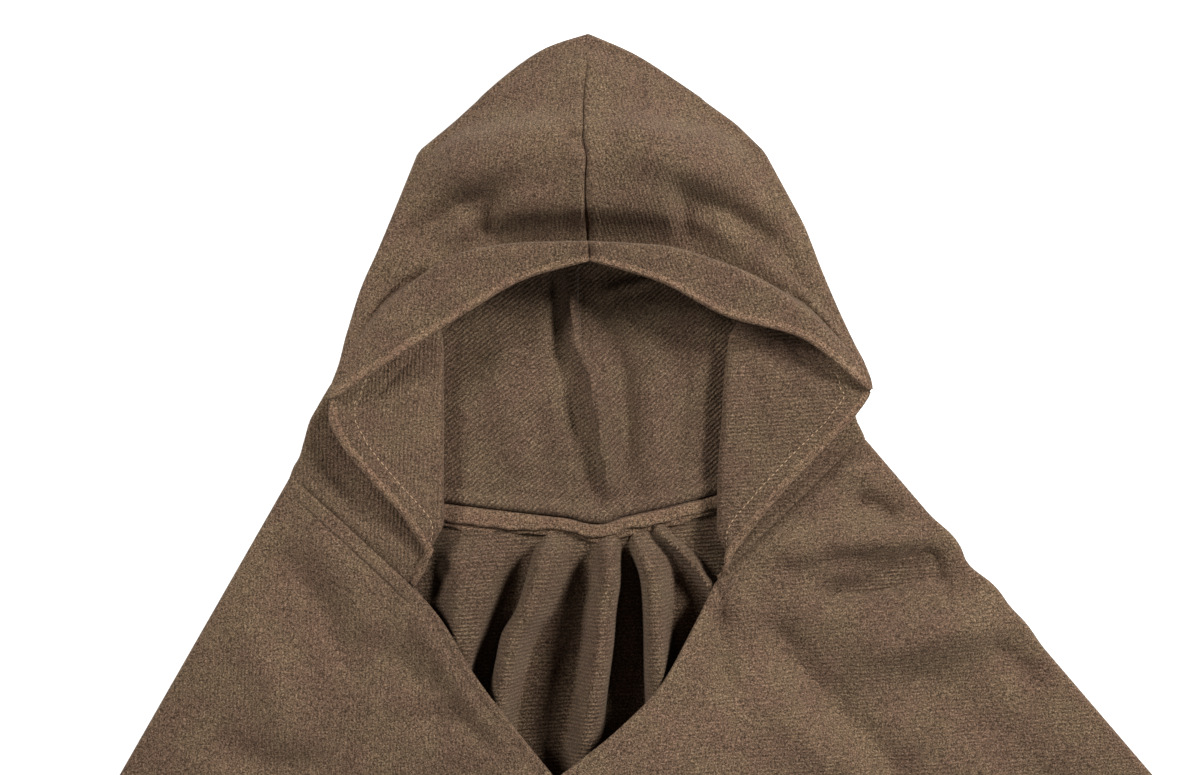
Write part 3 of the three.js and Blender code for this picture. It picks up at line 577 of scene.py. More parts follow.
class Sheet:
    """Points, faces and cloth coordinates of a piece, gathered before its mesh is made."""

    def __init__(self):
        self.points, self.faces, self.uvs, self.ribs, self.slots = [], [], [], [], []

    def add(self, points, faces, uvs, ribs=1.0, slot=0):
        base = sum(len(p) for p in self.points)
        self.points.append(points)
        self.faces.append(np.asarray(faces) + base)
        self.uvs.append(uvs)
        self.ribs.append(np.broadcast_to(ribs, len(points)))
        self.slots.append(np.full(len(faces), slot))

    def shell(self, grid, cells, normals, uv, thick=CLOTH, ribs=1.0):
        """Closed wall about a middle surface: two skins and a rim along every open edge."""
        rows, cols = grid.shape[:2]
        used = np.zeros((rows, cols), bool)
        for j in (0, 1):
            for i in (0, 1):
                used[j:j + cells.shape[0], i:i + cells.shape[1]] |= cells
        number = np.full((rows, cols), -1)
        number[used] = np.arange(used.sum())
        count = int(used.sum())
        mid, n = grid[used], normals[used]
        skins = np.concatenate([mid + n * (thick / 2), mid - n * (thick / 2)])
        skins[:, 2] = np.maximum(skins[:, 2], 0)
        jj, ii = np.nonzero(cells)
        a, b = number[jj, ii], number[jj, ii + 1]
        c, d = number[jj + 1, ii + 1], number[jj + 1, ii]
        top = np.stack([a, b, c, d], 1)
        under = np.stack([d, c, b, a], 1) + count
        edges = {}
        for quad in top:
            for p, q in zip(quad, np.roll(quad, -1)):
                if (q, p) in edges:
                    del edges[(q, p)]
                else:
                    edges[(p, q)] = True
        rim = np.array([[p, p + count, q + count, q] for p, q in edges])
        flat_uv = uv[used]
        rib = np.broadcast_to(ribs, grid.shape[:2])[used]
        self.add(skins, np.concatenate([top, under, rim]), np.concatenate([flat_uv, flat_uv]),
                 np.concatenate([rib, rib]))

    def bead(self, line, inward, normals, radius, reach, wall=CLOTH, slot=1, start=0):
        """Rounded edge of a turned hem: a drop shaped section swept along a free edge."""
        t, n = unit(np.gradient(line, axis=0)), unit(normals)
        d = inward - (inward * t).sum(1, keepdims=True) * t
        d -= (d * n).sum(1, keepdims=True) * n
        d /= np.maximum(np.linalg.norm(d, axis=1, keepdims=True), 1e-9)
        turn = np.linspace(90, 270, 9) * math.pi / 180
        radius = np.broadcast_to(radius, len(line))
        skin, swollen = wall / 2 + 0.02, wall / 2 + 0.45
        flat = [(0.55, -swollen), (1, -skin), (1, skin), (0.55, swollen)]
        ring = np.array([[(r * 0.8 + r * math.cos(v), r * math.sin(v)) for v in turn]
                         + [(reach * a, b) for a, b in flat] for r in radius])
        k, m = ring.shape[:2]
        pts = (line[:, None] + d[:, None] * ring[:, :, :1] + n[:, None] * ring[:, :, 1:]).reshape(-1, 3)
        faces = [[i * m + j, (i + 1) * m + j, (i + 1) * m + (j + 1) % m, i * m + (j + 1) % m]
                 for i in range(k - 1) for j in range(m)]
        # the winding follows the side on which the section was laid
        if np.dot(np.cross(t[0], d[0]), n[0]) > 0:
            faces = [f[::-1] for f in faces]
        caps = [list(range(m)), [(k - 1) * m + j for j in range(m)]]
        caps = [c[::-1] if np.dot(np.cross(t[0], d[0]), n[0]) <= 0 else c for c in caps]
        caps[1] = caps[1][::-1]
        tri = []
        for c in caps:
            tri += [[c[0], c[j], c[j + 1], c[j + 1]] for j in range(1, m - 1)]
        around = np.linspace(0, 1, m) * (2 * reach + 3.1 * radius[0])
        uvs = np.stack([np.repeat(start + run_along(line), m), np.tile(around, k)], 1)
        self.add(pts, np.array(faces + tri), uvs, EDGE_RIB, slot)

    def build(self, name):
        pts = np.concatenate(self.points).copy()
        pts[:, 0] -= MIDDLE[0]
        pts[:, 1] -= MIDDLE[1]
        quads = np.concatenate(self.faces).tolist()
        faces = [[v for k, v in enumerate(f) if v not in f[:k]] for f in quads]
        mesh = bpy.data.meshes.new(name)
        mesh.from_pydata((pts / 1000).tolist(), [], faces)
        uvs = np.concatenate(self.uvs) / 1000
        layer = mesh.uv_layers.new(name="Cloth")
        loops = np.zeros(len(mesh.loops), np.int32)
        mesh.loops.foreach_get("vertex_index", loops)
        layer.data.foreach_set("uv", uvs[loops].astype(np.float32).ravel())
        rib = mesh.attributes.new("Rib", "FLOAT", "POINT")
        rib.data.foreach_set("value", np.concatenate(self.ribs).astype(np.float32))
        mesh.polygons.foreach_set("material_index", np.concatenate(self.slots).astype(np.int32))
        mesh.polygons.foreach_set("use_smooth", [True] * len(mesh.polygons))
        mesh.set_sharp_from_angle(angle=math.radians(48))
        mesh.update()
        obj = bpy.data.objects.new(name, mesh)
        bpy.context.scene.collection.objects.link(obj)
        return obj


def twill_uv(grid, layers):
    """Cloth coordinates in millimetres, turned so that the twill of each layer runs its own way."""
    uv = np.zeros(grid.shape[:2] + (2,))
    for layer, side, a, b in layers:
        angle = math.radians(TWILL[layer][side])
        x, y = grid[:, a:b, 0], grid[:, a:b, 1]
        uv[:, a:b, 0] = x * math.cos(angle) + y * math.sin(angle)
        uv[:, a:b, 1] = -x * math.sin(angle) + y * math.cos(angle)
    return uv


# ---- materials ----
def set_inputs(tree, node, inputs):
    """Sets a node's inputs, by name or number: each to a value, or linked to another node's output."""
    for key, value in inputs.items():
        if isinstance(value, bpy.types.NodeSocket):
            tree.links.new(value, node.inputs[key])
        else:
            node.inputs[key].default_value = value


def add_node(tree, kind, inputs=None, **settings):
    """A new node, laid out twelve to a row."""
    node = tree.nodes.new(kind)
    row, column = divmod(len(tree.nodes), 12)
    node.location = (200 * column, -260 * row)
    for key, value in settings.items():
        setattr(node, key, value)
    set_inputs(tree, node, inputs or {})
    return node


def node_group(name, kind, sockets):
    """An empty node group with its sockets, given as (in or out, kind, names)."""
    tree = bpy.data.node_groups.new(name, kind)
    for in_out, socket, names in sockets:
        for label in names:
            tree.interface.new_socket(label, in_out=in_out, socket_type="NodeSocket" + socket)
    return tree


def twill_group():
    """Heathered twill: a fine diagonal rib with painted shade in its hollows, mixed light and dark fibres,
    and a little wear.
    """
    tree = node_group("Heathered twill", "ShaderNodeTree", (
        ("INPUT", "Vector", ("Cloth", "Place")), ("INPUT", "Float", ("Rib", "Rib pitch", "Rib shade strength")),
        ("INPUT", "Color", ("Dark fibre", "Middle fibre", "Light fibre")),
        ("OUTPUT", "Color", ("Color",)), ("OUTPUT", "Float", ("Height", "Roughness"))))
    given = add_node(tree, "NodeGroupInput").outputs

    def maths(op, *values):
        return add_node(tree, "ShaderNodeMath", dict(enumerate(values)), operation=op).outputs[0]

    def noise(scale, detail, rough):
        inputs = {"Vector": given["Place"], "Scale": scale, "Detail": detail, "Roughness": rough}
        return add_node(tree, "ShaderNodeTexNoise", inputs).outputs["Fac"]

    def ramp(value, low, high):
        inputs = {"Value": value, "From Min": low, "From Max": high}
        return add_node(tree, "ShaderNodeMapRange", inputs).outputs[0]

    def mix(share, a, b):
        return add_node(tree, "ShaderNodeMix", {0: share, 6: a, 7: b}, data_type="RGBA").outputs[2]

    # the rib: even lines across the cloth, a little unsteady
    across = add_node(tree, "ShaderNodeSeparateXYZ", {0: given["Cloth"]}).outputs["Y"]
    shifted = maths("ADD", across, maths("MULTIPLY", noise(160, 2, 0.5), 0.0020))
    turns = maths("DIVIDE", shifted, given["Rib pitch"])
    rib = maths("MULTIPLY_ADD", maths("SINE", maths("MULTIPLY", turns, math.tau)), 0.5, 0.5)
    # fibres from fine to coarse, then patches and clouds of tone
    speck, fibre, blot = noise(680, 2, 0.6), noise(900, 3, 0.7), noise(300, 3, 0.65)
    patch, cloud = noise(34, 3, 0.55), noise(7, 2, 0.5)
    dark, light = ramp(speck, 0.54, 0.42), ramp(fibre, 0.50, 0.63)
    worn = ramp(blot, 0.38, 0.62)
    # painted shade: the colour darkens toward the dark fibre in the rib's hollows, more where the wool is
    # worn
    painted_rib_shade = maths("MULTIPLY", maths("SUBTRACT", 1.0, rib), given["Rib shade strength"])
    painted_rib_shade = maths("MULTIPLY", painted_rib_shade, maths("MULTIPLY_ADD", worn, 0.7, 0.3))
    painted_rib_shade = maths("MULTIPLY", painted_rib_shade, given["Rib"])
    base = mix(maths("MULTIPLY", dark, 0.80), given["Middle fibre"], given["Dark fibre"])
    base = mix(maths("MULTIPLY", light, 0.58), base, given["Light fibre"])
    base = mix(painted_rib_shade, base, given["Dark fibre"])
    tint = mix(ramp(patch, 0.38, 0.62), (0.97, 1.01, 0.97, 1), (1.03, 0.99, 1.02, 1))
    base = add_node(tree, "ShaderNodeVectorMath", {0: base, 1: tint}, operation="MULTIPLY").outputs[0]
    tone = maths("ADD", maths("MULTIPLY", worn, 0.30), maths("MULTIPLY", ramp(cloud, 0.35, 0.65), 0.14))
    tone = maths("ADD", maths("ADD", tone, maths("MULTIPLY", ramp(patch, 0.62, 0.38), 0.14)), 0.71)
    shade = add_node(tree, "ShaderNodeVectorMath", {0: base, "Scale": tone}, operation="SCALE").outputs[0]
    height = maths("ADD", maths("MULTIPLY", maths("MULTIPLY", rib, given["Rib"]), 0.75),
                   maths("MULTIPLY", speck, 1.1))
    height = maths("ADD", height, maths("MULTIPLY", fibre, 0.6))
    add_node(tree, "NodeGroupOutput", {"Color": shade, "Height": height,
                                       "Roughness": maths("MULTIPLY_ADD", speck, 0.12, 0.84)})
    return tree


def mottle_group():
    """Two close shades that wander into each other."""
    tree = node_group("Mottle", "ShaderNodeTree", (
        ("INPUT", "Vector", ("Place",)), ("INPUT", "Float", ("Scale",)),
        ("INPUT", "Color", ("Dark shade", "Light shade")), ("OUTPUT", "Color", ("Color",))))
    given = add_node(tree, "NodeGroupInput").outputs
    noise = add_node(tree, "ShaderNodeTexNoise", {"Vector": given["Place"], "Scale": given["Scale"]})
    shades = {0: noise.outputs["Fac"], 6: given["Dark shade"], 7: given["Light shade"]}
    mixed = add_node(tree, "ShaderNodeMix", shades, data_type="RGBA")
    add_node(tree, "NodeGroupOutput", {"Color": mixed.outputs[2]})
    return tree


def new_material(name):
    """A material with its tree and shader."""
    mat = bpy.data.materials.new(name)
    mat.use_nodes = True
    return mat, mat.node_tree, mat.node_tree.nodes["Principled BSDF"]


def wool(name, colours, tint, rib=0.62):
    """A wool material: the shared twill drives its colour, roughness and bump; rib sets how strong the
    painted shade in the twill's hollows is.
    """
    mat, tree, shader = new_material(name)
    inputs = {label: [c * t for c, t in zip(colour, tint)] + [1] for label, colour in (
        ("Dark fibre", colours.dark), ("Middle fibre", colours.middle), ("Light fibre", colours.light))}
    inputs.update({
        "Rib pitch": RIB_PITCH, "Rib shade strength": rib,
        "Place": add_node(tree, "ShaderNodeTexCoord").outputs["Object"],
        "Rib": add_node(tree, "ShaderNodeAttribute", attribute_name="Rib").outputs["Fac"],
        "Cloth": add_node(tree, "ShaderNodeUVMap", uv_map="Cloth").outputs["UV"],
    })
    group = bpy.data.node_groups.get("Heathered twill") or twill_group()
    cloth = add_node(tree, "ShaderNodeGroup", node_tree=group)
    set_inputs(tree, cloth, inputs)
    bump = add_node(tree, "ShaderNodeBump", {"Strength": 0.7, "Distance": 0.0011,
                                             "Height": cloth.outputs["Height"]})
    set_inputs(tree, shader, {
        "Base Color": cloth.outputs["Color"], "Roughness": cloth.outputs["Roughness"],
        "Normal": bump.outputs["Normal"], "Specular IOR Level": 0.14,
        "Sheen Weight": 0.1, "Sheen Roughness": 0.55, "Sheen Tint": (0.62, 0.5, 0.4, 1),
    })
    return mat


def mottled_material(name, dark, light, scale, roughness):
    """A nearly plain material, with its shader so that more can be set on it."""
    mat, tree, shader = new_material(name)
    group = bpy.data.node_groups.get("Mottle") or mottle_group()
    mottle = add_node(tree, "ShaderNodeGroup", node_tree=group)
    set_inputs(tree, mottle, {
        "Place": add_node(tree, "ShaderNodeTexCoord").outputs["Object"], "Scale": scale,
        "Dark shade": [*dark, 1], "Light shade": [*light, 1],
    })
    set_inputs(tree, shader, {"Base Color": mottle.outputs["Color"], "Roughness": roughness})
    return mat, shader


def shared_wool(name, tint=(1, 1, 1), **settings):
    found = bpy.data.materials.get(name)
    return found or wool(name, bpy.context.scene.poncho_colours, tint, **settings)


def finish_piece(obj, node, material):
    obj.data.materials.append(material)
    # second material, for the rolled edges: lighter, a painted highlight where the roll catches the light
    obj.data.materials.append(shared_wool("edge wool with painted highlight", EDGE_HIGHLIGHT_TINT, rib=0.1))
    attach(obj, "root")
    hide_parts(node)


def in_seam_plane(normals, j, i):
    n = normals[j, i]
    n[..., 0] = 0
    normals[j, i] = unit(n)


_hoods = {}


def hood_half(side):
    """Grid, cells, stations and normals of a hood half; worked out once and shared with the body."""
    if side not in _hoods:
        grid, cells, stations = hood_grid(side)
        facing = -1 if side < 0 else 1
        normals = smooth_normals(grid, cells) * facing
        in_seam_plane(normals, slice(None), 0)
        top = stations >= BRIM
        in_seam_plane(normals, top, WIDTH - 1)
        in_seam_plane(normals, -1, slice(None))
        run = unit(grid[0, LAST] - grid[0, SEAM_END])
        down = np.array([0, 0, -1.0]) + run * run[2]
        normals[0, SEAM_END:LAST + 1] = unit(down)
        _hoods[side] = (grid, cells, stations, normals)
    return _hoods[side]


def smooth_along(values, times):
    """Evens out a row of vectors in place; its ends stay."""
    for _ in range(times):
        values[1:-1] = (values[:-2] + 2 * values[1:-1] + values[2:]) / 4


def build_hood(side):
    name = "hood_left" if side < 0 else "hood_right"
    grid, cells, stations, normals = hood_half(side)
    ends = [0] + [fold + N_FOLD // 2 for fold in (LOWER_END, SEAM_END, LAST)] + [WIDTH]
    layers = [(layer, side > 0, a, b)
              for layer, a, b in zip(("lower", "second", "strip", "crown"), ends, ends[1:])]
    uv = twill_uv(grid, layers)
    ribs = np.zeros(WIDTH)
    for layer, _, a, b in layers:
        ribs[a:b] = RIBS[layer]
    piece = Sheet()
    if side < 0:  # keep the faces outward on the mirrored half
        piece.shell(grid[:, ::-1], cells[:, ::-1], normals[:, ::-1], uv[:, ::-1], ribs=ribs[::-1])
    else:
        piece.shell(grid, cells, normals, uv, ribs=ribs)
    # the front edge: up beside the face opening, round the side fold and along the brim
    j = int(np.nonzero(stations >= BRIM)[0][0])
    steps = list(range(1, j))
    path = [(k, LAST, k, LAST - 1) for k in steps] + [(j, i, j + 1, i) for i in range(LAST + 1, WIDTH)]
    line = np.array([grid[a, b] for a, b, _, _ in path])
    inward = unit(np.array([grid[c, d] - grid[a, b] for a, b, c, d in path]))
    smooth_along(inward, 4)
    n = np.array([normals[a, b] for a, b, _, _ in path])
    corner = slice(len(steps) - 7, len(steps) + N_FOLD + 5)
    for part in (line, inward, n):
        smooth_along(part[corner], 8)
    thinner = STRIP_THINNER if side > 0 else 0
    radius = HOOD_EDGE - thinner * (1 - ease((np.arange(len(line)) - len(steps)) / 12))
    piece.bead(line, inward, n, radius, HOOD_EDGE_REACH)
    finish_piece(piece.build(name), name, shared_wool("hood wool"))


# ---- body ----
def below(side, i):
    """A body point just under the neck seam, the gap away from the hood's edge."""
    grid, _, _, normals = hood_half(side)
    before, after = grid[0, max(0, i - 1)], grid[0, min(LAST, i + 1)]
    away = np.cross(normals[0, i], after - before)
    away /= np.linalg.norm(away)
    if away @ (grid[0, i] - grid[1, i]) < 0:
        away = -away
    return grid[0, i] + away * (2 * SEAM_GAP if i == LAST else SEAM_GAP)


def neck_point(side, i):
    """A point just under the neck seam and its normal, also between two columns of the hood."""
    k, f = int(i), i - int(i)
    n = hood_half(side)[3][0]
    if f == 0:
        return below(side, k), n[k]
    return lerp(below(side, k), below(side, k + 1), f), lerp(n[k], n[k + 1], f)


def hem_points(share):
    def angle(p):
        return math.atan2(p[1] - HEM_CENTRE[1], p[0] - HEM_CENTRE[0])
    a = lerp(angle(HEM_LEFT), angle(HEM_RIGHT), np.asarray(share))
    return np.stack([HEM_CENTRE[0] + HEM_RADIUS * np.cos(a), HEM_CENTRE[1] + HEM_RADIUS * np.sin(a)], -1)


def side_shift(down):
    """How far the right side stands out at shares of the way down."""
    total = 0
    for k in KINKS:
        off = np.abs(down - k["at"])
        bump = np.cos(np.pi / 2 * np.clip(off / k["half"], 0, 1)) ** 2
        total = total + k["out"] * np.where(off < k["half"], bump, 0)
    return total


def plan(top, shares, roll, steps):
    """Plan positions of a body panel: straight lines from the top edge to the hem, with rounded sides."""
    t = np.asarray(steps)[:, None, None]
    foot = hem_points(shares)
    xy = top[None, :, :2] + (foot - top[:, :2])[None] * t
    shift = side_shift(np.asarray(steps))
    xy[:, :, 0] += shift[:, None] * (ease((shares - 0.9) / 0.1) * (shares >= 0.9))[None]
    for edge in (0, len(top) - 1):
        run = foot[edge] - top[edge, :2]
        run /= np.linalg.norm(run)
        inward = np.array([run[1], -run[0]]) if edge else np.array([-run[1], run[0]])
        for i in np.nonzero(roll)[0]:
            if (i < len(top) / 2) != (edge == 0):
                continue
            own = top[i, :2] - top[edge, :2]
            step = np.hypot(*own)
            turn = ease(np.asarray(steps) / 0.03)[:, None]
            line = top[edge, :2] + (foot[edge] - top[edge, :2]) * t[:, 0]
            if edge:
                line[:, 0] += shift
            xy[:, i] = line + own + (inward * step - own) * turn
    return xy


def side_normals(grid, normals, top_normals):
    for i, side in ((0, -1), (grid.shape[1] - 1, 1)):
        run = np.gradient(grid[:, i, :2], axis=0)
        run /= np.linalg.norm(run, axis=1, keepdims=True)
        out = np.stack([-run[:, 1] * side, run[:, 0] * side], 1)
        out *= np.where(out[:, :1] * side < 0, -1, 1)
        normals[:, i, :2] = -out
        normals[:, i, 2] = 0
    for i, n in enumerate(top_normals):
        if n is not None:
            normals[0, i] = n


def flutes(x, y):
    """Height of the flutes, and how far their crisp flanks lean out over the valleys."""
    z, lean = np.zeros_like(x), np.zeros_like(x)
    for (left, right), rows_list in FLUTES.items():
        for rows in rows_list:
            ats = np.arange(rows[0]["at"], rows[-1]["at"] + 0.1, 2.0)
            vals = [read(rows, float(a)) for a in ats]
            crest, l, r, h = (np.interp(-y, ats, [v[k] for v in vals], right=v_end)
                              for k, v_end in (("x", None), ("l", None), ("r", None), ("h", 0)))
            h = np.where(-y < ats[0], 0, h)
            d = x - crest
            t = np.clip(np.abs(d) / np.where(d < 0, l, r), 0, 1)
            crisp = np.where(d < 0, left == "crisp", right == "crisp")
            flat = np.where(d < 0, left == "flat", right == "flat")
            soft_z = np.where(flat, 1 - ease((t - 0.35) / 0.65), np.cos(np.pi / 2 * t) ** 2)
            own = h * np.where(crisp, 1 - ease(t), soft_z)
            out = np.where(crisp, np.sign(d) * 0.11 * h * np.sin(np.pi * t**0.7), 0)
            lean = np.where(own > z, out, lean)
            z = np.maximum(z, own)
    return z, lean


def waves(x, y):
    z = np.zeros_like(x)
    for w in WAVES:
        dx, dy = w["x1"] - w["x0"], w["y1"] - w["y0"]
        length = math.hypot(dx, dy)
        along = ((x - w["x0"]) * dx + (y - w["y0"]) * dy) / length
        across = np.abs((x - w["x0"]) * dy - (y - w["y0"]) * dx) / length
        c = np.where(across < w["half"], np.cos(np.pi / 2 * np.clip(across / w["half"], 0, 1)), 0)
        ends = ease((along + 40) / 80) * ease((length + 40 - along) / 80)
        z += w["height"] * c * (0.45 * c + 0.55) * ends
    return z


def steps_down(*spans):
    """Rows from the top edge to the hem, given as reach and spacing in millimetres."""
    at, steps = 0.0, [0.0]
    for reach, spacing in spans:
        count = max(1, round((reach - at) / spacing))
        steps += list(at + (reach - at) * np.arange(1, count + 1) / count)
        at = reach
    return np.array(steps) / at


def body_back(fluted=True):
    top, normals, roll = [], [], []

    def add(p, n, r):
        top.append(p), normals.append(n), roll.append(r)

    for side, order in ((-1, 1), (1, -1)):
        part = [(*neck_point(side, i), 1) for i in range(LOWER_END + N_FOLD // 2, LOWER_END, -1)]
        for i in range(LOWER_END, 0, -1):
            k = 2 if i < 58 else 1
            part += [(*neck_point(side, i - f / k), 0) for f in range(k)]
        if order < 0:
            part.reverse()
            add((below(-1, 0) + below(1, 0)) / 2, hood_half(1)[3][0, 0], 0)
        for p in part:
            add(*p)
    top, roll = np.array(top), np.array(roll)
    gaps = np.hypot(*np.diff(top[:, :2], axis=0).T)
    shares = np.concatenate([[0], np.cumsum(gaps)]) / gaps.sum()
    steps = steps_down((34, 1.7), (240, 3.4), (700, 17))
    xy = plan(top, shares, roll, steps)
    x, y = xy[:, :, 0], xy[:, :, 1]
    base = lerp(top[None, :, 2], REST, ease((steps[:, None] - 0.002) / 0.06))
    height, lean = flutes(x, y) if fluted else (0 * x, 0 * x)
    fade = ease(steps[:, None] / 0.006)
    x = x + lean * fade
    height = height * fade + 1.2 * (slack(x, y, 9) + 0.6) * ease(steps[:, None] / 0.1) * (height > 2)
    z = np.where(roll[None, :] > 0, top[None, :, 2], np.maximum(base, REST) + height)
    z[0] = top[:, 2]
    grid = np.dstack([x, y, z])
    grid[:, (0, -1), 2] -= SEAM_GAP / 2
    cells = np.ones((len(steps) - 1, len(top) - 1), bool)
    n = smooth_normals(grid, cells)
    n *= -1  # the inside of the back looks up
    side_normals(grid, n, [v / np.linalg.norm(v) for v in normals])
    return grid, cells, n


def body_front():
    top, normals, roll = [], [], []

    def neck(side, i):
        p, n = neck_point(side, i)
        top.append(p), normals.append(n / np.linalg.norm(n))
        roll.append(1 if i <= LOWER_END + N_FOLD else 0)

    start, turn = LOWER_END + N_FOLD // 2, LOWER_END + N_FOLD
    along_neck = list(range(start, turn)) + [turn + k / 3 for k in range(3 * (SEAM_END - turn) + 1)]
    for i in along_neck:
        neck(-1, i)
    neck(-1, LAST)
    for rows, stations in ((V_LEFT, np.linspace(0, 4, 41)[1:]), (V_RIGHT, np.linspace(4, 0, 41)[1:-1])):
        for at in stations:
            r = read(rows, float(at))
            top.append(np.array([r["x"], r["y"], r["z"]])), normals.append(None), roll.append(0)
    neck(1, LAST)
    for i in reversed(along_neck):
        neck(1, i)
    top, roll = np.array(top), np.array(roll)
    d = np.diff(top[:, :2], axis=0)
    weight = np.hypot(d[:, 0], d[:, 1] * 0.35) + 0.35
    shares = np.concatenate([[0], np.cumsum(weight)]) / weight.sum()
    steps = steps_down((20, 0.9), (240, 3.0), (700, 17))
    xy = plan(top, shares, roll, steps)
    x, y = xy[:, :, 0], xy[:, :, 1]
    t = steps[:, None]
    inner = ease(np.minimum(shares, 1 - shares) / 0.12)[None, :]
    fall = lerp(top[None, :, 2], SIDE_RISE, ease(t * 1.15) * 0.9 + 0.1 * t)
    close = ease(np.minimum(shares, 1 - shares) / 0.05)[None, :]
    crease = (crease_height("front", x, y) + slack(x, y, 5)) * close * ease(t / 0.02)
    sewn = np.array([v is not None for v in normals])[None, :]
    fallen = np.cumsum(np.hypot(*np.moveaxis(np.diff(xy, axis=0), 2, 0)), 0)
    down = np.concatenate([np.zeros((1, len(top))), fallen])
    shoulder = 3.2 * ease(down / 1.8) * (1 - ease((down - 14) / 60))
    allowance = 0.7 * ease(down / 3) * (1 - ease((down - 8) / 4))
    edge = shoulder + allowance - 1.1 * np.exp(-((down - TOPSTITCH_DEPTH) / 1.1) ** 2)
    crease = crease + edge * sewn * close
    z = np.where(roll[None, :] > 0, top[None, :, 2], fall + waves(x, y) * inner * ease(t / 0.08) + crease)
    z[0] = top[:, 2]
    grid = np.dstack([x, y, z])
    grid[:, (0, -1), 2] += SEAM_GAP / 2
    cells = np.ones((len(steps) - 1, len(top) - 1), bool)
    n = smooth_normals(grid, cells)
    side_normals(grid, n, normals)
    return grid, cells, n, np.array([v is None for v in normals])


def upward(normals):
    """Turns normals so that most look up."""
    return normals if normals[..., 2].mean() > 0 else -normals


# ---- stitches ----
def stitch_tree():
    """Stitches along a line: thread pieces of one length, laid end to end with a small gap."""
    tree = node_group("Stitch line", "GeometryNodeTree", (
        ("INPUT", "Geometry", ("Geometry",)), ("INPUT", "Float", ("Stitch length", "Pitch", "Thread")),
        ("INPUT", "Material", ("Material",)), ("OUTPUT", "Geometry", ("Geometry",))))
    given = add_node(tree, "NodeGroupInput").outputs
    curve = add_node(tree, "GeometryNodeMeshToCurve", {0: given["Geometry"]}).outputs[0]
    even = add_node(tree, "GeometryNodeResampleCurve", mode="LENGTH")
    set_inputs(tree, even, {"Curve": curve, "Length": given["Pitch"]})
    thread = add_node(tree, "GeometryNodeMeshUVSphere", {"Segments": 6, "Rings": 5, "Radius": 0.5})
    tangent = add_node(tree, "GeometryNodeInputTangent").outputs[0]
    turn = add_node(tree, "FunctionNodeAlignEulerToVector", {"Vector": tangent}, axis="X")
    vary = add_node(tree, "FunctionNodeRandomValue", {"Seed": 7, 2: 0.8, 3: 1.1}).outputs[1]
    long = add_node(tree, "ShaderNodeMath", {0: given["Stitch length"], 1: vary}, operation="MULTIPLY")
    size = add_node(tree, "ShaderNodeCombineXYZ", {"X": long.outputs[0], "Y": given["Thread"],
                                                   "Z": given["Thread"]})
    laid = add_node(tree, "GeometryNodeInstanceOnPoints", {
        "Points": even.outputs[0], "Instance": thread.outputs["Mesh"], "Rotation": turn.outputs[0],
        "Scale": size.outputs[0]})
    real = add_node(tree, "GeometryNodeRealizeInstances", {0: laid.outputs[0]})
    painted = add_node(tree, "GeometryNodeSetMaterial", {"Geometry": real.outputs[0],
                                                         "Material": given["Material"]})
    add_node(tree, "NodeGroupOutput", {0: painted.outputs[0]})
    return tree


def thread_material(name, colour):
    dark, light = [c * 0.6 for c in colour], [min(1, c * 1.3) for c in colour]
    return mottled_material(name, dark, light, 900, 0.7)[0]


def stitch_object(name, lines, thread):
    """Runs the stitch tree over lines of points, in millimetres, and keeps the plain mesh."""
    sizes = bpy.context.scene.poncho_sizes
    points, edges = [], []
    for line in lines:
        base = len(points)
        points += [((p[0] - MIDDLE[0]) / 1000, (p[1] - MIDDLE[1]) / 1000, p[2] / 1000) for p in line]
        edges += [(base + k, base + k + 1) for k in range(len(line) - 1)]
    mesh = bpy.data.meshes.new(name)
    mesh.from_pydata(points, edges, [])
    source = bpy.data.objects.new(name + "_line", mesh)
    bpy.context.scene.collection.objects.link(source)
    modifier = source.modifiers.new("Stitches", "NODES")
    tree = bpy.data.node_groups.get("Stitch line") or stitch_tree()
    modifier.node_group = tree
    values = {"Stitch length": sizes.stitch, "Pitch": sizes.stitch * STITCH_PITCH, "Thread": THREAD,
              "Material": thread}
    for item in tree.interface.items_tree:
        if item.in_out == "INPUT" and item.name in values:
            modifier[item.identifier] = values[item.name]
    bpy.context.view_layer.update()
    ready = source.evaluated_get(bpy.context.evaluated_depsgraph_get())
    made = bpy.data.meshes.new_from_object(ready)
    made.name = name
    bpy.data.objects.remove(source)
    obj = bpy.data.objects.new(name, made)
    bpy.context.scene.collection.objects.link(obj)
    made.polygons.foreach_set("use_smooth", [True] * len(made.polygons))
    return obj


def step_at(run, far):
    """Where a distance falls on a line's run: the next point's number, and the share of the way to it."""
    k = max(1, int(np.searchsorted(run, far)))
    return k, (far - run[k - 1]) / (run[k] - run[k - 1])


def along(grid, normals, distance, lift):
    """Points of a grid at a distance from its first row, lifted off the surface."""
    line, distances = [], np.broadcast_to(distance, grid.shape[1])
    for i, far in enumerate(distances):
        column = grid[:, i]
        k, f = step_at(run_along(column), far)
        up = unit(lerp(normals[k - 1, i], normals[k, i], f))
        line.append(lerp(column[k - 1], column[k], f) + up * lift)
    return line


# ---- settings ----
def plain_setting(name, description, default):
    return bpy.props.FloatProperty(name=name, description=description, default=default)


def length_setting(name, description, default):
    return bpy.props.FloatProperty(name=name, description=description, default=default, unit="LENGTH")


def colour_setting(name, description, default):
    return bpy.props.FloatVectorProperty(name=name, description=description, default=default,
                                         subtype="COLOR")


class PonchoSizes(bpy.types.PropertyGroup):
    stitch: length_setting("Stitch", "Length of one stitch", 0.0034)
    hem: length_setting("Hem", "Depth of the hood's turned hem", 0.019)
    topstitch: length_setting("Topstitch", "Line of stitches below the neck seam", 0.0115)


class PonchoColours(bpy.types.PropertyGroup):
    dark: colour_setting("Dark fibre", "Darkest fibres of the wool", (0.019, 0.0112, 0.006))
    middle: colour_setting("Middle fibre", "Main colour of the wool", (0.104, 0.0628, 0.037))
    light: colour_setting("Light fibre", "Lightest fibres of the wool", (0.34, 0.228, 0.15))
    thread: colour_setting("Thread", "Sewing thread", (0.42, 0.28, 0.17))
    floor: colour_setting("Floor", "Plain pale floor", (0.92, 0.92, 0.92))


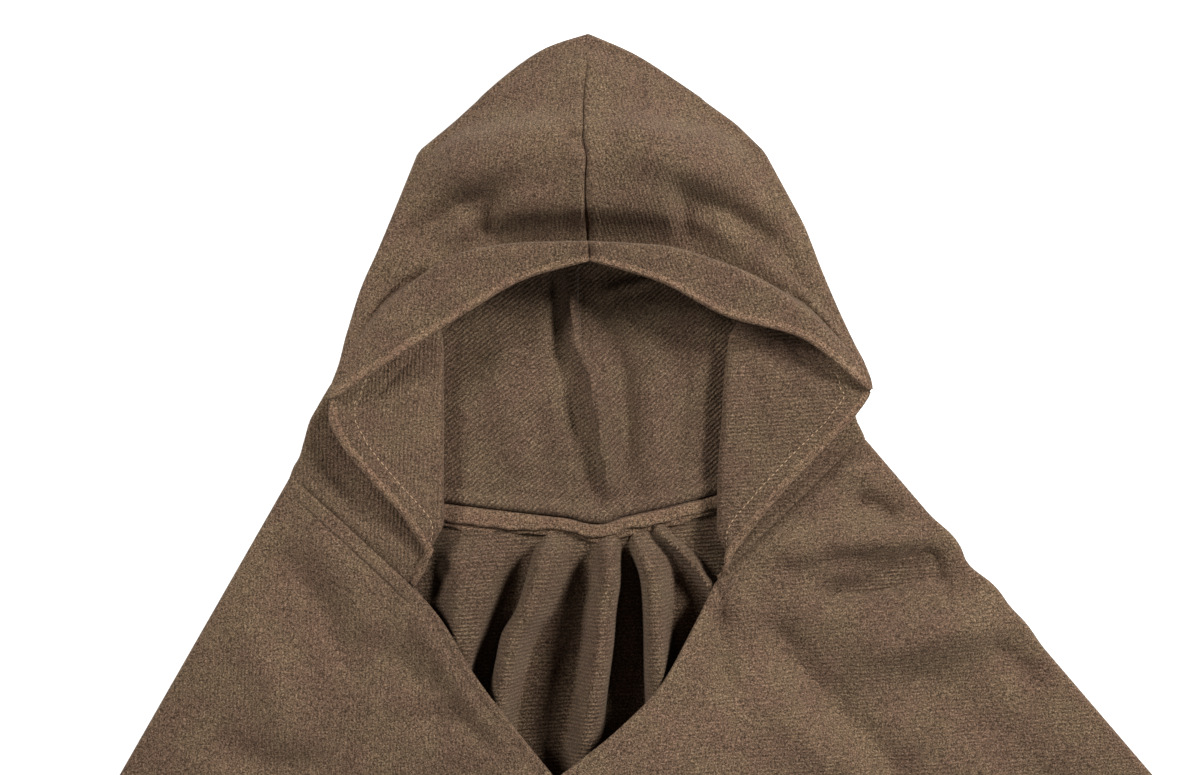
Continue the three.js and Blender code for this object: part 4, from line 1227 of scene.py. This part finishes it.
class StageSettings(bpy.types.PropertyGroup):
    key: plain_setting("Key light", "Power in watts that each soft light has a multiple of", 67.0)
    fill: plain_setting("Surround", "Strength of the even surrounding light", 0.05)
    glow: plain_setting("Floor glow", "Light of the floor itself, as on a light table", 0.35)
    view_width: length_setting("View width", "Width of the view at the garment", 0.889)
    camera_height: length_setting("Camera height", "Height of the camera over the floor", 2.4)


class PONCHO_OT_hood(bpy.types.Operator):
    """Both halves of the hood, folded as they lie, with their hemmed edges"""

    bl_idname = "poncho.hood"
    bl_label = "Hood"

    def execute(self, context):
        for side in (-1, 1):
            build_hood(side)
        return {"FINISHED"}


class PONCHO_OT_body_front(bpy.types.Operator):
    """Front of the body with the V opening"""

    bl_idname = "poncho.body_front"
    bl_label = "Body front"

    def execute(self, context):
        grid, cells, normals, free = body_front()
        ends = np.nonzero(free)[0]
        centre = int(ends[0] + np.argmin(grid[0, ends, 1]))
        uv = twill_uv(grid, [("front", 0, 0, centre), ("front", 1, centre, grid.shape[1])])
        ribs = ease((np.abs(grid[:, :, 0] - grid[:, centre, 0][:, None]) - 12) / 60)
        piece = Sheet()
        piece.shell(grid, cells, normals, uv, ribs=ribs * RIBS["front"])
        line, inward = grid[0, ends], grid[1, ends] - grid[0, ends]
        inward[:, 2] *= 0.6
        run = run_along(line)
        foot = len(ends) // 2
        for part in (slice(0, foot + 1), slice(foot, len(ends))):
            piece.bead(line[part], inward[part], normals[0, ends][part], V_EDGE, V_EDGE_REACH, slot=0,
                       start=run[part][0])
        finish_piece(piece.build("body_front"), "body_front",
                     shared_wool("body wool", BODY_TINT))
        return {"FINISHED"}


class PONCHO_OT_body_back(bpy.types.Operator):
    """Back of the body, its fullness standing in flutes below the neck"""

    bl_idname = "poncho.body_back"
    bl_label = "Body back"

    def execute(self, context):
        grid, cells, normals = body_back()
        normals = upward(normals)
        uv = twill_uv(grid, [("back", 0, 0, grid.shape[1])])
        piece = Sheet()
        piece.shell(grid[:, ::-1], cells[:, ::-1], normals[:, ::-1], uv[:, ::-1])
        finish_piece(piece.build("body_back"), "body_back",
                     shared_wool("body wool", BODY_TINT))
        return {"FINISHED"}


class PONCHO_OT_neck_seam(bpy.types.Operator):
    """The two turned down seam allowances across the back neck"""

    bl_idname = "poncho.neck_seam"
    bl_label = "Neck seam"

    def execute(self, context):
        grid, _, normals = body_back(fluted=False)
        normals = upward(normals)
        keep = (grid[0, :, 0] > -126) & (grid[0, :, 0] < 110)
        x0 = grid[0, keep, 0]
        width = lerp(18.5, 14.6, ease((x0 + 80) / 60))
        piece = Sheet()
        for reach, lift, thick in ((0.0, 3.0, 1.5), (-4.4, 6.0, 1.7)):
            wave = (0.45 * np.sin(x0 / 3.1 + reach) + 0.5 * np.sin(x0 / 7.7 + reach)
                    + 0.5 * np.sin(x0 / 19 - reach))
            far = width + reach + wave
            across = np.linspace(0, 1, 9)
            band = np.array([along(grid[:, keep], normals[:, keep], 0.6 + (far - 0.6) * f,
                                   lerp(0.9 + lift * 0.1, lift, ease(f * 2.2))) for f in across])
            x = band[:, :, 0]
            band[:, :, 2] += (0.5 * np.sin(x / 9 + reach) + 0.5 * np.sin(x / 4.3 - reach)) * across[:, None]
            ok = np.ones((len(across) - 1, band.shape[1] - 1), bool)
            n = upward(smooth_normals(band, ok))
            piece.shell(band[:, ::-1], ok[:, ::-1], n[:, ::-1], band[:, ::-1, :2].copy(), thick, SEAM_RIB)
            piece.bead(band[-1], band[-3] - band[-1], n[-1], SEAM_EDGE, SEAM_EDGE_REACH, thick)
        finish_piece(piece.build("neck_seam"), "neck_seam",
                     shared_wool("seam wool", SEAM_TINT))
        return {"FINISHED"}


class PONCHO_OT_stitching(bpy.types.Operator):
    """Stitches: the hood's hem, and the line below and along each front neck seam"""

    bl_idname = "poncho.stitching"
    bl_label = "Stitching"

    def execute(self, context):
        sizes, colours = context.scene.poncho_sizes, context.scene.poncho_colours
        hems, seams = [], []
        for side in (-1, 1):
            grid, _, stations, normals = hood_half(side)
            line = []
            for j in np.nonzero((stations > 1.2) & (stations <= BRIM + 0.6))[0]:
                across = slice(LAST, SEAM_END + N_FOLD // 2 - 1, -1)
                strip, n = grid[j, across], normals[j, across]
                run = run_along(strip)
                k, f = step_at(run, min(sizes.hem * 1000, run[-1] * 0.6))
                up = n[k] if n[k][2] > 0 else -n[k]
                line.append(lerp(strip[k - 1], strip[k], f) + up * (CLOTH / 2 + 0.15))
            hems.append(line)
        grid, _, normals, free = body_front()
        normals = upward(normals)
        ends = np.nonzero(free)[0]
        for cols in (slice(N_FOLD // 2 + 2, ends[0]), slice(ends[-1] + 1, grid.shape[1] - N_FOLD // 2 - 2)):
            seams.append(along(grid[:, cols], normals[:, cols], sizes.topstitch * 1000, CLOTH / 2 + 0.1))
        dark = [c * 1.1 for c in colours.middle]
        for name, lines, colour in (("hem_stitches", hems, colours.thread), ("neck_stitches", seams, dark)):
            obj = stitch_object(name, lines, thread_material(name.replace("_", " ") + " thread", colour))
            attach(obj, "root")
        return {"FINISHED"}


class PONCHO_OT_stage(bpy.types.Operator):
    """Plain pale floor, soft light and the overhead camera"""

    bl_idname = "poncho.stage"
    bl_label = "Stage"

    def execute(self, context):
        scene = context.scene
        settings, colours = scene.poncho_stage, scene.poncho_colours
        mesh = bpy.data.meshes.new("floor")
        shape = bmesh.new()
        bmesh.ops.create_grid(shape, x_segments=24, y_segments=24, size=12)
        shape.to_mesh(mesh)
        shape.free()
        floor = bpy.data.objects.new("floor", mesh)
        floor.location.z = -0.0004
        scene.collection.objects.link(floor)
        pale = list(colours.floor)
        mat, shader = mottled_material("pale floor", [c * 0.99 for c in pale], pale, 1.5, 0.95)
        shader.inputs["Emission Color"].default_value = (1, 1, 1, 1)
        shader.inputs["Emission Strength"].default_value = settings.glow
        mesh.materials.append(mat)
        world = bpy.data.worlds.new("surround")
        scene.world = world
        world.use_nodes = True
        set_inputs(world.node_tree, world.node_tree.nodes["Background"],
                   {"Color": (1, 1, 1, 1), "Strength": settings.fill})
        scene.view_settings.view_transform = "Standard"
        for name, (place, power) in LIGHTS.items():
            light = bpy.data.lights.new(name, "AREA")
            light.shape, light.size, light.energy = "DISK", LIGHT_SIZE, settings.key * power
            lamp = bpy.data.objects.new(name, light)
            lamp.location = place
            aim = np.array(LIGHT_AIM) - np.array(place)
            lamp.rotation_euler = (math.acos(-aim[2] / np.linalg.norm(aim)), 0, math.atan2(-aim[0], aim[1]))
            scene.collection.objects.link(lamp)
        camera = bpy.data.cameras.new("camera")
        camera.sensor_width = SENSOR
        centre = (VIEW_CENTRE[0] - MIDDLE[0], VIEW_CENTRE[1] - MIDDLE[1])
        camera.lens = SENSOR * (settings.camera_height - CHEST) / settings.view_width
        eye = bpy.data.objects.new("camera", camera)
        eye.location = (centre[0] / 1000, centre[1] / 1000, settings.camera_height)
        scene.collection.objects.link(eye)
        scene.camera = eye
        return {"FINISHED"}


class PONCHO_PT_panel(bpy.types.Panel):
    """Sizes, colours and the buttons that build the poncho"""

    bl_label = "Poncho"
    bl_idname = "PONCHO_PT_panel"
    bl_space_type = "VIEW_3D"
    bl_region_type = "UI"
    bl_category = "Poncho"

    def draw(self, context):
        for group in ("poncho_sizes", "poncho_colours", "poncho_stage"):
            box = self.layout.box()
            settings = getattr(context.scene, group)
            for key in settings.__annotations__:
                box.prop(settings, key)
        for operator in OPERATORS:
            self.layout.operator(operator.bl_idname)


OPERATORS = (PONCHO_OT_hood, PONCHO_OT_body_front, PONCHO_OT_body_back, PONCHO_OT_neck_seam,
             PONCHO_OT_stitching, PONCHO_OT_stage)
GROUPS = (("poncho_sizes", PonchoSizes), ("poncho_colours", PonchoColours), ("poncho_stage", StageSettings))


def register():
    for cls in [g for _, g in GROUPS] + list(OPERATORS) + [PONCHO_PT_panel]:
        bpy.utils.register_class(cls)
    for name, group in GROUPS:
        setattr(bpy.types.Scene, name, bpy.props.PointerProperty(type=group))


def unregister():
    for name, _ in GROUPS:
        delattr(bpy.types.Scene, name)
    for cls in [PONCHO_PT_panel] + list(reversed(OPERATORS)) + [g for _, g in reversed(GROUPS)]:
        bpy.utils.unregister_class(cls)


def main():
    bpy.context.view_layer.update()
    register()
    for operator in OPERATORS:
        group, name = operator.bl_idname.split(".")
        getattr(getattr(bpy.ops, group), name)()


if __name__ == "__main__":
    main()
